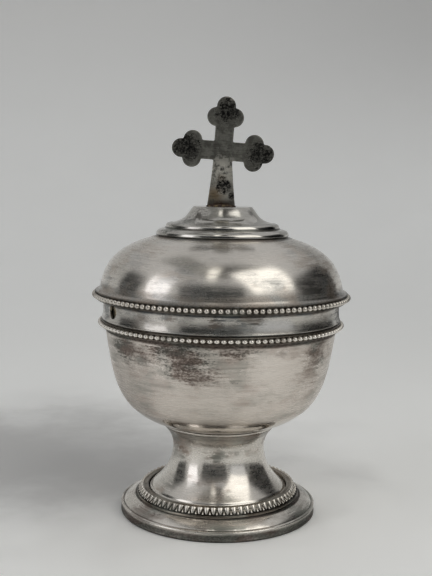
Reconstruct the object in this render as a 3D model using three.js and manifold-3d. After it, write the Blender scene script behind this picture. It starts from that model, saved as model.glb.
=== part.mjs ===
// A small covered ciborium of spun silver plate: a moulded foot with a waisted stem, a deep round
// bowl, and a domed lid that lifts off and carries a budded cross.
// Millimetres, +Z up. The origin is at the middle of the foot, on the surface it stands on.
// The front, where the face of the cross looks, is -Y.
//
// Nearly every piece is turned, so it is drawn as half of its section: r is the distance from the
// axis and z the height. Pieces are stacked from the foot upwards, each from the one below it.

import * as THREE from 'three';
import { mergeVertices } from 'three/addons/utils/BufferGeometryUtils.js';
import { ParametricGeometry } from 'three/addons/geometries/ParametricGeometry.js';
import Module from 'manifold-3d';

const wasm = await Module();
wasm.setup();

// Fits
const SOLDER_GAP = 0.3; // between two pieces that are soldered or clamped together
const LID_FIT = 0.35; // all round, between the bowl's neck and the lid's collar
const BORE_FIT = 0.3; // all round, between the stud and what it passes through
const CUT_MARGIN = 1; // how far a cutting shape reaches past the sheet that it cuts

// Foot
const BORDER_WIDTH = 4.1; // from the flat table out to the rim
const FOOT_EDGE_HEIGHT = 0.75; // plain lower edge of the rim
const FOOT_EDGE_ROUND = 0.4;
const FOOT_BAND_HEIGHT = 1.45; // dished band round the rim
const FOOT_BAND_DISH = 0.2; // depth of that band
const SHOULDER_HEIGHT = 0.65; // plain upper edge of the rim
const SHOULDER_ROUND = 0.25;
const SHOULDER_WIDTH = 0.62; // narrow flat on top of the rim
const BORDER_RISE = 1.75; // from that flat up to the table
const FOOT_WALL = 0.9;
const FOOT_LIP = 2.2; // edge turned in underneath, which the foot stands on
const FOOT_LIP_THICKNESS = 0.8;
const TABLE_MARGIN = 0.65; // of the flat table, beyond the beaded wire on it
const BORDER_SWELL = 0.5; // how far the sloping border bulges
const FOOT_SEAT = 0.95; // of the table, inside the wall of the stem that stands on it

// Stem
const STEM_WALL = 0.9;
const STEM_LIP_RADIUS = 19.05;
const STEM_LIP_HEIGHT = 2.1; // upright band between the table and the flare
const WAIST_RADIUS = 12.6;
const FLARE_HEIGHT = 11; // from the band to the waist
const FLARE_HANDLE = 4.32;
const FLARE_ANGLE = 41; // degrees, rise of the flare where it leaves the band
const WAIST_HANDLE_BELOW = 5.56;
const WAIST_HANDLE_ABOVE = 3.82;
const MOUTH_RADIUS = 15.8;
const MOUTH_HEIGHT = 6.6; // from the waist to the mouth
const MOUTH_HANDLE = 1;
const MOUTH_ANGLE = 60; // degrees, rise of the mouth where it meets the bowl

// Bowl
const BOWL_RADIUS = 31.3;
const BOWL_DEPTH = 27.6; // from the bottom to the rim band
const BOWL_WALL = 0.9;
const BOWL_BOTTOM_DRAW = 3.35; // how far the bottom's handle stays inside the rim
const BOWL_SIDE_HANDLE = 17.27;
const BOWL_SIDE_DRAW = 2.64; // how far that handle leans in
const RIM_SWELL = 0.5; // the rim band stands proud of the side
const RIM_SWELL_HEIGHT = 0.5;
const RIM_BAND_HEIGHT = 2;

// Neck, the ring inside the rim that the lid slides over
const NECK_WALL = 0.8;
const NECK_STEP = 0.75; // how far the neck stands out over the rim
const NECK_HEIGHT = 6.5;
const NECK_SKIRT = 3.7;
const NECK_EDGE_ROUND = 0.25;

// Collar of the lid
const COLLAR_WALL = 0.8;
const COLLAR_HEIGHT = 7.15;
const COLLAR_HOLLOW = 0.25; // the outside is slightly waisted
const COLLAR_LIP = 0.45; // plain rounded lip at the open end
const COLLAR_HOLE_RADIUS = 1.95;
const COLLAR_HOLE_HEIGHT = 3.15; // above the open end
const COLLAR_HOLE_ANGLE = 60; // degrees to the left of the front

// Dome of the lid
const DOME_WALL = 0.9;
const DOME_OVERHANG = 0.45; // beyond the collar
const DOME_HEIGHT = 13.5;
const DOME_SIDE_HANDLE = 8.26;
const DOME_SIDE_DRAW = 1.21;
const DOME_TOP_HANDLE = 7.81;
const DOME_TOP_DROP = 2.19;
const DOME_FLANGE = 2; // beyond the collar
const DOME_FLANGE_THICKNESS = 0.5;
const DOME_FILLET = 0.65; // hollow between the flange and the side
const DOME_FILLET_FOOT = 0.16; // rise of the hollow where it leaves the flange
const CROWN_RISE = 1.1; // of the dome, hidden under the pedestal
const CROWN_HOLE_RADIUS = 8; // cut out, so that the tang can be soldered from inside
const CROWN_HANDLE = 3.5;

// Pedestal on the lid: two rounded steps and a hollow cone
const PEDESTAL_WALL = 0.9;
const PEDESTAL_RADIUS = 17.95;
const LOWER_STEP_HEIGHT = 1.7;
const LOWER_STEP_WIDTH = 2.05;
const STEP_NOTCH = 0.5; // flat quirk between the two steps
const UPPER_STEP_HEIGHT = 1.25;
const UPPER_STEP_WIDTH = 0.6;
const CONE_HEIGHT = 4.45;
const CONE_BASE_HANDLE = 5.14;
const CONE_TOP_HANDLE = 3.04;
const CONE_TOP_ANGLE = 42; // degrees, rise of the cone where it reaches the top
const CONE_BASE_RISE = 0.8;
const PEDESTAL_TOP_RADIUS = 7.96;

// Beaded wires. A bead is its own length of wire, so its pitch fixes how many go round.
const LID_BEAD_COUNT = 128;
const LID_WIRE_WIDTH = 2.4;
const LID_WIRE_BACK = 2.05; // height of the strip behind the beads
const LID_BEAD_HEIGHT = 1.3;
const BOWL_BEAD_COUNT = 122;
const BOWL_WIRE_WIDTH = 1.32;
const BOWL_WIRE_BACK = 1.95;
const BOWL_BEAD_HEIGHT = 1.1;
const BEAD_RELIEF = 0.62; // how far the wire drops back between two beads
const BEAD_FACE_SHARE = 0.5; // of a bead's height, upright at its front
const FOOT_BEAD_COUNT = 74;
const FOOT_WIRE_WIDTH = 2.7;
const FOOT_WIRE_HEIGHT = 2.1;
const FOOT_WIRE_CREST = 0.9; // from the inside of the wire out to its crest
const FOOT_WIRE_EDGE = 0.4; // plain fillet round the outside
const FOOT_WIRE_EDGE_HEIGHT = 0.8;
const TONGUE_RELIEF = 0.75; // the same for the tongues of the foot's wire

// Cross, cut from plate, with three round buds at each end of its head
const CROSS_THICKNESS = 1.3;
const CROSS_OFFSET = -0.5; // soldered on a little to the left of the axis
const SHAFT_LEAN = 1.1; // degrees, clockwise from the front
const HEAD_LEAN = 3.6; // degrees, clockwise from the front: the head is bent over
const CROSSING_HEIGHT = 14.5; // above the foot of the shaft
const ARM_WIDTH = 4.6;
const SHAFT_FOOT_WIDTH = 7.4;
const SHAFT_FLARE_HANDLE = 6;
const SHAFT_FOOT_DRAW = 0.74; // how far the handle at each side of the foot leans in
const BUD_RADIUS = 2.5;
const SIDE_BUD_REACH = 11.2; // from the crossing to the outermost bud
const TOP_BUD_REACH = 11.87;
const BUD_SETBACK = 2.95; // from the outermost bud back to the pair
const BUD_SPREAD = 2.4; // from the arm's middle line to each of the pair
const TANG_WIDTH = 4.4;
const TANG_LENGTH = 2.4;
const TANG_ROOT = 2.3; // how far it is let into the shaft

// Stud, plate, washer and nut, which clamp the bowl on the stem
const STUD_RADIUS = 2;
const BOSS_RADIUS = 5;
const BOSS_HEIGHT = 1.9;
const PLATE_DROP = 1.8; // from the waist down to the plate
const PLATE_THICKNESS = 1.2;
const WASHER_RADIUS = 4.6;
const WASHER_THICKNESS = 0.8;
const NUT_SIDES = 6;
const NUT_WIDTH = 7; // across the flats
const NUT_HEIGHT = 3.2;
const STUD_END = 0.8; // of the stud, below the nut

// Steps that curves are drawn with
const TURN_STEPS = 32;
const SMALL_TURN_STEPS = 20;
const LONG_CURVE_STEPS = 8;
const CURVE_STEPS = 4;
const ROUND_STEPS = 3;
const BUD_STEPS = 16;
const HOLE_STEPS = 16;
const INNER_STRIDE = 2; // an inner line keeps every second point of its outer line
const NEAR_SHARE = 0.9; // of the wall, the least that an inner line keeps from its outer line

const rad = THREE.MathUtils.degToRad;
const point = (r, z) => new THREE.Vector2(r, z);

// A smooth line from a to d, steered by the handles b and c
function bend(a, b, c, d, steps) {
  return new THREE.CubicBezierCurve(a, b, c, d).getPoints(steps);
}

// An arc of an ellipse about a centre, its angles in degrees from the +r direction
function arc(centre, width, height, from, to, steps = ROUND_STEPS) {
  const clockwise = to < from;
  return new THREE.EllipseCurve(centre.x, centre.y, width, height, rad(from), rad(to), clockwise)
    .getPoints(steps);
}

// Distance from a point to the nearest part of a line
function distanceTo(line, p) {
  return Math.min(...line.slice(1).map((b, i) => {
    const a = line[i];
    const step = b.clone().sub(a);
    const share = THREE.MathUtils.clamp(p.clone().sub(a).dot(step) / step.lengthSq(), 0, 1);
    return p.distanceTo(a.clone().addScaledVector(step, share));
  }));
}

// The inner side of a sheet: points of its outer line moved in, square to the line, without those
// that a tight corner brings too near. The two ends are cut level or upright.
function innerLine(outer, wall) {
  const last = outer.length - 1;
  const moved = outer.map((p, i) => {
    const course = outer[Math.min(i + 1, last)].clone().sub(outer[Math.max(i - 1, 0)]).normalize();
    const steep = Math.abs(course.y) > Math.abs(course.x);
    if (i > 0 && i < last) return point(p.x - course.y * wall, p.y + course.x * wall);
    if (steep) return point(p.x - Math.sign(course.y) * wall, p.y);
    return point(p.x, p.y + Math.sign(course.x) * wall);
  });
  const kept = (p, i) => i % INNER_STRIDE === 0 && distanceTo(outer, p) > wall * NEAR_SHARE;
  return moved.filter((p, i) => i === 0 || i === last || kept(p, i));
}

// Height of a line at distance r from the axis, or its r at height z, between its points
function along(line, key, value, wanted) {
  for (let i = 1; i < line.length; i += 1) {
    const [a, b] = [line[i - 1], line[i]];
    const inside = (a[key] - value) * (b[key] - value) <= 0 && a[key] !== b[key];
    if (inside) return THREE.MathUtils.mapLinear(value, a[key], b[key], a[wanted], b[wanted]);
  }
  const end = Math.abs(line[0][key] - value) < Math.abs(line.at(-1)[key] - value) ? line[0] : line.at(-1);
  return end[wanted];
}
const heightAt = (line, r) => along(line, 'x', r, 'y');
const radiusAt = (line, z) => along(line, 'y', z, 'x');

// One closed body: shared corners merged, empty triangles dropped, faces outwards
function closedBody(geometry) {
  const bare = geometry.clone();
  bare.deleteAttribute('normal');
  bare.deleteAttribute('uv');
  const merged = mergeVertices(bare);
  const at = merged.getAttribute('position');
  const corner = (i) => new THREE.Vector3().fromBufferAttribute(at, i);
  const index = [];
  let volume = 0;
  for (let i = 0; i < merged.index.count; i += 3) {
    const [a, b, c] = [0, 1, 2].map((k) => merged.index.getX(i + k));
    if (a === b || b === c || c === a) continue;
    volume += corner(a).dot(corner(b).cross(corner(c)));
    index.push(a, b, c);
  }
  if (volume < 0) index.reverse();
  merged.setIndex(index);
  return merged;
}

// A turned piece from its closed half section
function turned(section, steps = TURN_STEPS) {
  const onAxis = section[0].x === 0 && section.at(-1).x === 0;
  const outline = onAxis ? section : [...section, section[0]];
  return closedBody(new THREE.LatheGeometry(outline, steps).rotateX(Math.PI / 2));
}

// A turned sheet: its outer line, then its inner line back again
const spun = (outer, wall) => turned([...outer, ...innerLine(outer, wall).toReversed()]);

// A flat outline in the x-z plane, made into a plate as thick as given, centred on y = 0
function plate(shape, thickness, curveSegments) {
  const geometry = new THREE.ExtrudeGeometry(shape, { depth: thickness, bevelEnabled: false, curveSegments });
  return geometry.rotateX(Math.PI / 2).translate(0, thickness / 2, 0);
}

function toSolid(geometry) {
  const body = closedBody(geometry);
  const mesh = new wasm.Mesh({
    numProp: 3,
    vertProperties: new Float32Array(body.getAttribute('position').array),
    triVerts: new Uint32Array(body.index.array),
  });
  return new wasm.Manifold(mesh);
}

function fromSolid(solid) {
  const mesh = solid.getMesh();
  const geometry = new THREE.BufferGeometry();
  geometry.setAttribute('position', new THREE.BufferAttribute(new Float32Array(mesh.vertProperties), 3));
  geometry.setIndex(new THREE.BufferAttribute(new Uint32Array(mesh.triVerts), 1));
  return geometry;
}

const joined = (pieces) => fromSolid(pieces.map(toSolid).reduce((sum, piece) => sum.add(piece)));
const cut = (piece, tool) => fromSolid(toSolid(piece).subtract(toSolid(tool)));

// A wire bent round the axis whose section swells at each bead and drops back between two.
// Each corner of the section has its place on a bead, and how far it moves between beads.
function beadedWire(corners, beads) {
  const stations = beads * 2;
  const surface = (u, v, target) => {
    const between = Math.round(u * stations) % 2;
    const { r, z, inward = 0, down = 0 } = corners[Math.round(v * corners.length) % corners.length];
    const radius = r - inward * between;
    const angle = u * Math.PI * 2;
    target.set(radius * Math.cos(angle), radius * Math.sin(angle), z - down * between);
  };
  return closedBody(new ParametricGeometry(surface, stations, corners.length));
}

const group = new THREE.Group();

const finishes = {
  polished: { color: '#a9aaa4', roughness: 0.22, metalness: 1 },
  worn: { color: '#9c958f', roughness: 0.38, metalness: 1 },
  tarnished: { color: '#4b4a46', roughness: 0.55, metalness: 0.9 },
  gilt: { color: '#b79a5c', roughness: 0.35, metalness: 1 },
  brass: { color: '#8c7440', roughness: 0.45, metalness: 1 },
};

function add(name, geometry, finish) {
  const mesh = new THREE.Mesh(geometry, new THREE.MeshStandardMaterial(finishes[finish]));
  mesh.name = name;
  group.add(mesh);
}

// Foot: an upright rim with a dished band and a shoulder, a swelling border and a flat table with a
// hole, open underneath. The table carries the stem and the beaded wire round it.

const footWireInside = STEM_LIP_RADIUS + SOLDER_GAP;
const footWireOut = footWireInside + FOOT_WIRE_WIDTH;
const tableRadius = footWireOut + TABLE_MARGIN;
const footRadius = tableRadius + BORDER_WIDTH;
const footHoleRadius = STEM_LIP_RADIUS - STEM_WALL - FOOT_SEAT;
const footBandTop = FOOT_EDGE_HEIGHT + FOOT_BAND_HEIGHT;
const shoulderHeight = footBandTop + SHOULDER_HEIGHT;
const borderFoot = footRadius - SHOULDER_WIDTH;
const tableHeight = shoulderHeight + BORDER_RISE;
const borderTop = bend(
  point(borderFoot, shoulderHeight),
  point(borderFoot - BORDER_SWELL, shoulderHeight + BORDER_SWELL),
  point(tableRadius + BORDER_SWELL * 2, tableHeight),
  point(tableRadius, tableHeight),
  CURVE_STEPS,
);
const footSection = [
  point(footRadius - FOOT_EDGE_ROUND, 0),
  point(footRadius, FOOT_EDGE_ROUND),
  ...arc(
    point(footRadius, FOOT_EDGE_HEIGHT + FOOT_BAND_HEIGHT / 2),
    FOOT_BAND_DISH,
    FOOT_BAND_HEIGHT / 2,
    270,
    90,
    CURVE_STEPS,
  ),
  point(footRadius, shoulderHeight - SHOULDER_ROUND),
  point(footRadius - SHOULDER_ROUND, shoulderHeight),
  ...borderTop,
  point(footHoleRadius, tableHeight),
  point(footHoleRadius, tableHeight - FOOT_WALL),
  ...innerLine(borderTop, FOOT_WALL).slice(1, -1).toReversed(),
  point(footRadius - FOOT_WALL, FOOT_LIP_THICKNESS),
  point(footRadius - FOOT_LIP, FOOT_LIP_THICKNESS),
  point(footRadius - FOOT_LIP, 0),
];
add('foot_base', turned(footSection), 'worn');

// Stem: a trumpet that stands on the table, drawn in to a waist and out again to a mouth

const stemFoot = tableHeight + SOLDER_GAP;
const stemLip = stemFoot + STEM_LIP_HEIGHT;
const waist = stemLip + FLARE_HEIGHT;
const mouth = waist + MOUTH_HEIGHT;
const flareAngle = rad(FLARE_ANGLE);
const mouthAngle = rad(MOUTH_ANGLE);
const stemLine = [
  point(STEM_LIP_RADIUS, stemFoot),
  ...bend(
    point(STEM_LIP_RADIUS, stemLip),
    point(
      STEM_LIP_RADIUS - FLARE_HANDLE * Math.cos(flareAngle),
      stemLip + FLARE_HANDLE * Math.sin(flareAngle),
    ),
    point(WAIST_RADIUS, waist - WAIST_HANDLE_BELOW),
    point(WAIST_RADIUS, waist),
    LONG_CURVE_STEPS,
  ),
  ...bend(
    point(WAIST_RADIUS, waist),
    point(WAIST_RADIUS, waist + WAIST_HANDLE_ABOVE),
    point(
      MOUTH_RADIUS - MOUTH_HANDLE * Math.cos(mouthAngle),
      mouth - MOUTH_HANDLE * Math.sin(mouthAngle),
    ),
    point(MOUTH_RADIUS, mouth),
    CURVE_STEPS,
  ).slice(1),
];
const stemInside = innerLine(stemLine, STEM_WALL);
add('stem', spun(stemLine, STEM_WALL), 'polished');

// Bowl: one sweep from the bottom to the side, seated on the stem's mouth, and a proud rim band

function bowlSweep(bottom) {
  const rim = bottom + BOWL_DEPTH;
  return bend(
    point(0, bottom),
    point(BOWL_RADIUS - BOWL_BOTTOM_DRAW, bottom),
    point(BOWL_RADIUS - BOWL_SIDE_DRAW, rim - BOWL_SIDE_HANDLE),
    point(BOWL_RADIUS, rim),
    LONG_CURVE_STEPS + CURVE_STEPS,
  );
}
const bowlBottom = mouth + SOLDER_GAP - heightAt(bowlSweep(0), MOUTH_RADIUS - STEM_WALL);
const bowlLine = bowlSweep(bowlBottom);
const bandFoot = bowlBottom + BOWL_DEPTH + RIM_SWELL_HEIGHT;
const rimTop = bandFoot + RIM_BAND_HEIGHT;
const rimRadius = BOWL_RADIUS + RIM_SWELL;
const rimInside = BOWL_RADIUS - BOWL_WALL;
const bowlInside = innerLine(bowlLine, BOWL_WALL);
const bowlSection = [
  ...bowlLine,
  point(rimRadius, bandFoot),
  point(rimRadius, rimTop),
  point(rimInside, rimTop),
  ...bowlInside.toReversed(),
];
add('bowl', turned(bowlSection), 'worn');

// Neck: its skirt is soldered inside the rim, and its step rests on the rim's edge

const neckFoot = rimTop + SOLDER_GAP;
const neckTop = neckFoot + NECK_HEIGHT;
const skirtFoot = rimTop - NECK_SKIRT;
const skirtRadius = radiusAt(bowlInside, skirtFoot) - SOLDER_GAP;
const neckRadius = rimInside + NECK_STEP;
const neckInside = neckRadius - NECK_WALL;
const neckSection = [
  point(skirtRadius - NECK_WALL, skirtFoot),
  point(skirtRadius, skirtFoot),
  point(skirtRadius, neckFoot),
  point(neckRadius, neckFoot),
  point(neckRadius, neckTop - NECK_EDGE_ROUND),
  point(neckRadius - NECK_EDGE_ROUND, neckTop),
  point(neckInside, neckTop),
  point(neckInside, neckFoot + NECK_WALL),
  point(skirtRadius - NECK_WALL, neckFoot),
];
add('bowl_neck', turned(neckSection), 'gilt');

// Collar of the lid: slides over the neck and comes to rest on the rim of the bowl

const collarFoot = rimTop + SOLDER_GAP;
const collarTop = collarFoot + COLLAR_HEIGHT;
const collarInside = neckRadius + LID_FIT;
const collarRadius = collarInside + COLLAR_WALL;
const lidWireFoot = collarTop - LID_WIRE_BACK;
const collarSection = [
  point(collarInside, collarFoot),
  point(collarRadius - COLLAR_LIP / 2, collarFoot),
  point(collarRadius, collarFoot + COLLAR_LIP / 2),
  point(collarRadius - COLLAR_HOLLOW / 2, collarFoot + COLLAR_LIP),
  ...bend(
    point(collarRadius - COLLAR_HOLLOW, collarFoot + COLLAR_LIP * 2),
    point(collarRadius - COLLAR_HOLLOW, collarFoot + COLLAR_HEIGHT / 2),
    point(collarRadius - COLLAR_HOLLOW, lidWireFoot - COLLAR_LIP),
    point(collarRadius, lidWireFoot),
    ROUND_STEPS,
  ),
  point(collarRadius, collarTop),
  point(collarInside, collarTop),
];
const holeTurn = rad(COLLAR_HOLE_ANGLE);
const holeLength = COLLAR_WALL + CUT_MARGIN * 2;
const holeTool = new THREE.CylinderGeometry(COLLAR_HOLE_RADIUS, COLLAR_HOLE_RADIUS, holeLength, HOLE_STEPS)
  .translate(0, COLLAR_WALL / 2 - collarRadius, 0)
  .rotateZ(-holeTurn)
  .translate(0, 0, collarFoot + COLLAR_HOLE_HEIGHT);
add('lid_collar', cut(turned(collarSection), holeTool), 'polished');

// Dome of the lid: a flange over the collar, a hollow fillet and one sweep up to the pedestal

const flangeFoot = collarTop + SOLDER_GAP;
const flangeTop = flangeFoot + DOME_FLANGE_THICKNESS;
const domeFoot = flangeTop + DOME_FILLET;
const domeRadius = collarRadius + DOME_OVERHANG;
const flangeRadius = collarRadius + DOME_FLANGE;
const shoulderTop = domeFoot + DOME_HEIGHT;
const domeSweep = bend(
  point(domeRadius, domeFoot),
  point(domeRadius - DOME_SIDE_DRAW, domeFoot + DOME_SIDE_HANDLE),
  point(PEDESTAL_RADIUS + DOME_TOP_HANDLE, shoulderTop - DOME_TOP_DROP),
  point(PEDESTAL_RADIUS, shoulderTop),
  LONG_CURVE_STEPS,
);
const crown = bend(
  point(PEDESTAL_RADIUS, shoulderTop),
  point(PEDESTAL_RADIUS - CROWN_HANDLE, shoulderTop + CROWN_HANDLE * DOME_TOP_DROP / DOME_TOP_HANDLE),
  point(CROWN_HOLE_RADIUS + CROWN_HANDLE, shoulderTop + CROWN_RISE),
  point(CROWN_HOLE_RADIUS, shoulderTop + CROWN_RISE),
  CURVE_STEPS,
).slice(1);
const domeLine = [...domeSweep, ...crown];
const domeSection = [
  point(domeRadius - DOME_WALL, flangeFoot),
  point(flangeRadius, flangeFoot),
  point(flangeRadius, flangeTop),
  point(domeRadius + DOME_FILLET, flangeTop + DOME_FILLET_FOOT),
  ...domeLine,
  ...innerLine(domeLine, DOME_WALL).toReversed(),
];
add('lid_dome', turned(domeSection), 'polished');

// Pedestal: soldered on the dome, with a slot in its top for the tang of the cross

const pedestalFoot = heightAt(domeLine, PEDESTAL_RADIUS - PEDESTAL_WALL) + SOLDER_GAP;
const lowerStepTop = pedestalFoot + LOWER_STEP_HEIGHT;
const lowerStepInside = PEDESTAL_RADIUS - LOWER_STEP_WIDTH;
const upperStepRadius = lowerStepInside - STEP_NOTCH;
const upperStepTop = lowerStepTop + UPPER_STEP_HEIGHT;
const coneRadius = upperStepRadius - UPPER_STEP_WIDTH;
const pedestalTop = upperStepTop + CONE_HEIGHT;
const coneTopAngle = rad(CONE_TOP_ANGLE);
const lowerStepCentre = point(lowerStepInside, pedestalFoot);
const upperStepCentre = point(coneRadius, lowerStepTop);
const pedestalLine = [
  ...arc(lowerStepCentre, LOWER_STEP_WIDTH, LOWER_STEP_HEIGHT, 0, 90),
  ...arc(upperStepCentre, UPPER_STEP_WIDTH, UPPER_STEP_HEIGHT, 0, 90),
  ...bend(
    point(coneRadius, upperStepTop),
    point(coneRadius - CONE_BASE_HANDLE, upperStepTop + CONE_BASE_RISE),
    point(
      PEDESTAL_TOP_RADIUS + CONE_TOP_HANDLE * Math.cos(coneTopAngle),
      pedestalTop - CONE_TOP_HANDLE * Math.sin(coneTopAngle),
    ),
    point(PEDESTAL_TOP_RADIUS, pedestalTop),
    CURVE_STEPS,
  ).slice(1),
  point(0, pedestalTop),
];

// An upright bar about z, as a flat outline
const bar = (halfWidth, low, high) => new THREE.Shape([
  point(-halfWidth, low),
  point(halfWidth, low),
  point(halfWidth, high),
  point(-halfWidth, high),
]);

function slotTool() {
  const slot = bar(TANG_WIDTH / 2 + SOLDER_GAP, -PEDESTAL_WALL - CUT_MARGIN, CUT_MARGIN);
  return plate(slot, CROSS_THICKNESS + SOLDER_GAP * 2).translate(CROSS_OFFSET, 0, pedestalTop);
}
add('lid_pedestal', cut(spun(pedestalLine, PEDESTAL_WALL), slotTool()), 'polished');

// Beaded wires under the lid's flange, round the bowl's rim and round the foot of the stem

// The four corners of a bead wire: a flat back, and a face that bulges at each bead
function beadCorners(inside, top, back, width, height) {
  const out = inside + width;
  const middle = top - height / 2;
  const halfFace = (height * BEAD_FACE_SHARE) / 2;
  return [
    { r: inside, z: top },
    { r: inside, z: top - back },
    { r: out, z: middle - halfFace, inward: BEAD_RELIEF },
    { r: out, z: middle + halfFace, inward: BEAD_RELIEF },
  ];
}

const lidWireInside = collarRadius + SOLDER_GAP;
const lidWireCorners = beadCorners(
  lidWireInside,
  collarTop,
  LID_WIRE_BACK,
  LID_WIRE_WIDTH,
  LID_BEAD_HEIGHT,
);
add('lid_bead_wire', beadedWire(lidWireCorners, LID_BEAD_COUNT), 'polished');

const bowlWireInside = rimRadius + SOLDER_GAP;
const bowlWireCorners = beadCorners(
  bowlWireInside,
  rimTop,
  BOWL_WIRE_BACK,
  BOWL_WIRE_WIDTH,
  BOWL_BEAD_HEIGHT,
);
add('bowl_bead_wire', beadedWire(bowlWireCorners, BOWL_BEAD_COUNT), 'worn');

const footWireTop = stemFoot + FOOT_WIRE_HEIGHT;
const crestRadius = footWireInside + FOOT_WIRE_CREST;
const footWireCorners = [
  { r: footWireInside, z: stemFoot },
  { r: footWireOut, z: stemFoot },
  {
    r: footWireOut - FOOT_WIRE_EDGE,
    z: stemFoot + FOOT_WIRE_EDGE_HEIGHT,
    inward: TONGUE_RELIEF,
    down: FOOT_WIRE_EDGE,
  },
  { r: crestRadius, z: footWireTop, down: TONGUE_RELIEF },
];
add('foot_bead_wire', beadedWire(footWireCorners, FOOT_BEAD_COUNT), 'worn');

// Cross: the foot of its shaft stands on the pedestal, and its tang goes down through the slot.
// Shapes are drawn with x to the right and z up, about the foot of the shaft.

const disc = (x, z) => new THREE.Shape().absarc(x, z, BUD_RADIUS, 0, Math.PI * 2);

function shaftShape() {
  const half = ARM_WIDTH / 2;
  const foot = SHAFT_FOOT_WIDTH / 2;
  const drawn = foot - SHAFT_FOOT_DRAW;
  return new THREE.Shape()
    .moveTo(-foot, 0)
    .lineTo(foot, 0)
    .bezierCurveTo(drawn, SHAFT_FLARE_HANDLE, half, SHAFT_FLARE_HANDLE, half, CROSSING_HEIGHT)
    .lineTo(-half, CROSSING_HEIGHT)
    .bezierCurveTo(-half, SHAFT_FLARE_HANDLE, -drawn, SHAFT_FLARE_HANDLE, -foot, 0);
}

// One arm of the head, pointing up from the crossing, with its three buds
function budArm(reach) {
  const pair = reach - BUD_SETBACK;
  const shapes = [
    bar(ARM_WIDTH / 2, -ARM_WIDTH / 2, reach),
    disc(0, reach),
    disc(-BUD_SPREAD, pair),
    disc(BUD_SPREAD, pair),
  ];
  return shapes.map((shape) => plate(shape, CROSS_THICKNESS, BUD_STEPS / 2));
}

function cross() {
  const head = [
    ...budArm(TOP_BUD_REACH),
    ...budArm(SIDE_BUD_REACH).map((piece) => piece.rotateY(-Math.PI / 2)),
    ...budArm(SIDE_BUD_REACH).map((piece) => piece.rotateY(Math.PI / 2)),
  ];
  const shaftLean = rad(SHAFT_LEAN);
  for (const piece of head) {
    piece.rotateY(rad(HEAD_LEAN));
    piece.translate(CROSSING_HEIGHT * Math.sin(shaftLean), 0, CROSSING_HEIGHT * Math.cos(shaftLean));
  }
  const shaft = plate(shaftShape(), CROSS_THICKNESS, CURVE_STEPS).rotateY(shaftLean);
  const tang = plate(bar(TANG_WIDTH / 2, -TANG_LENGTH, TANG_ROOT), CROSS_THICKNESS);
  return joined([...head, shaft, tang]).translate(CROSS_OFFSET, 0, pedestalTop + SOLDER_GAP);
}
add('cross', cross(), 'tarnished');

// Stud soldered under the bowl, and the plate, washer and nut that draw the bowl down

const bossTop = bowlBottom - SOLDER_GAP;
const bossFoot = bossTop - BOSS_HEIGHT;
const plateTop = waist - PLATE_DROP;
const plateFoot = plateTop - PLATE_THICKNESS;
const washerTop = plateFoot - SOLDER_GAP;
const washerFoot = washerTop - WASHER_THICKNESS;
const nutTop = washerFoot - SOLDER_GAP;
const nutFoot = nutTop - NUT_HEIGHT;
const studFoot = nutFoot - STUD_END;
const boreRadius = STUD_RADIUS + BORE_FIT;
add('bowl_stud', turned([
  point(0, studFoot),
  point(STUD_RADIUS, studFoot),
  point(STUD_RADIUS, bossFoot),
  point(BOSS_RADIUS, bossFoot),
  point(BOSS_RADIUS, bossTop),
  point(0, bossTop),
], SMALL_TURN_STEPS), 'brass');

const plateEdge = (z) => radiusAt(stemInside, z) - SOLDER_GAP;
add('bearing_plate', turned([
  point(boreRadius, plateFoot),
  point(plateEdge(plateFoot), plateFoot),
  point(plateEdge(plateTop), plateTop),
  point(boreRadius, plateTop),
]), 'brass');

add('stud_washer', turned([
  point(boreRadius, washerFoot),
  point(WASHER_RADIUS, washerFoot),
  point(WASHER_RADIUS, washerTop),
  point(boreRadius, washerTop),
], SMALL_TURN_STEPS), 'brass');

function hexNut() {
  const corner = NUT_WIDTH / 2 / Math.cos(Math.PI / NUT_SIDES);
  const sides = Array.from({ length: NUT_SIDES }, (_, i) => {
    const turn = (i * Math.PI * 2) / NUT_SIDES;
    return point(corner * Math.cos(turn), corner * Math.sin(turn));
  });
  const outline = new THREE.Shape(sides);
  outline.holes.push(new THREE.Path().absarc(0, 0, boreRadius, 0, Math.PI * 2, true));
  const options = { depth: NUT_HEIGHT, bevelEnabled: false, curveSegments: SMALL_TURN_STEPS / 2 };
  return closedBody(new THREE.ExtrudeGeometry(outline, options).translate(0, 0, nutFoot));
}
add('stud_nut', hexNut(), 'brass');

export default group;
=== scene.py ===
"""Dresses a small covered ciborium of old silver plate, piece by piece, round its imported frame.

The vessel is a spun foot, stem and bowl with a neck ring, and the lid a band, a domed shell, a
stepped mount and a budded cross. Nearly every piece is turned, so it is drawn as half of its
section: r out from the axis and z up, both in millimetres. A piece takes its place from the node
of the frame that it stands for, and the sizes that are its own are fields of its class.
"""

import logging
import math
from collections.abc import Callable
from dataclasses import dataclass
from enum import Enum
from functools import partial

import bpy
from mathutils import Euler, Matrix, Vector


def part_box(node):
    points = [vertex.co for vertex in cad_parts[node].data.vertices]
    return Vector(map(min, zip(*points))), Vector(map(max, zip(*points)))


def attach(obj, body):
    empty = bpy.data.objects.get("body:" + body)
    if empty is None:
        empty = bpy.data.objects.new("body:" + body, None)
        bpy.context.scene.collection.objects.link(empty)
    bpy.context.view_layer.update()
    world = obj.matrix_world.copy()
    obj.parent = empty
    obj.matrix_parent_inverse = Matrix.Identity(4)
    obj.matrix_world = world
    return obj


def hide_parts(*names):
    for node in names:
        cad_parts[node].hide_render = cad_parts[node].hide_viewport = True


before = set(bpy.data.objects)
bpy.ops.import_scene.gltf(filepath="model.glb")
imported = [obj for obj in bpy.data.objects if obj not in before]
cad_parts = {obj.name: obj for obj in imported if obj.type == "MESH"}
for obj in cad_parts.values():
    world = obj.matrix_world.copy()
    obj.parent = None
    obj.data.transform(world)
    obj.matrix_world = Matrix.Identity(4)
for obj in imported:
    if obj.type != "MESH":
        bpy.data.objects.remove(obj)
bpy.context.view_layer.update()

MM = 0.001
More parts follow.
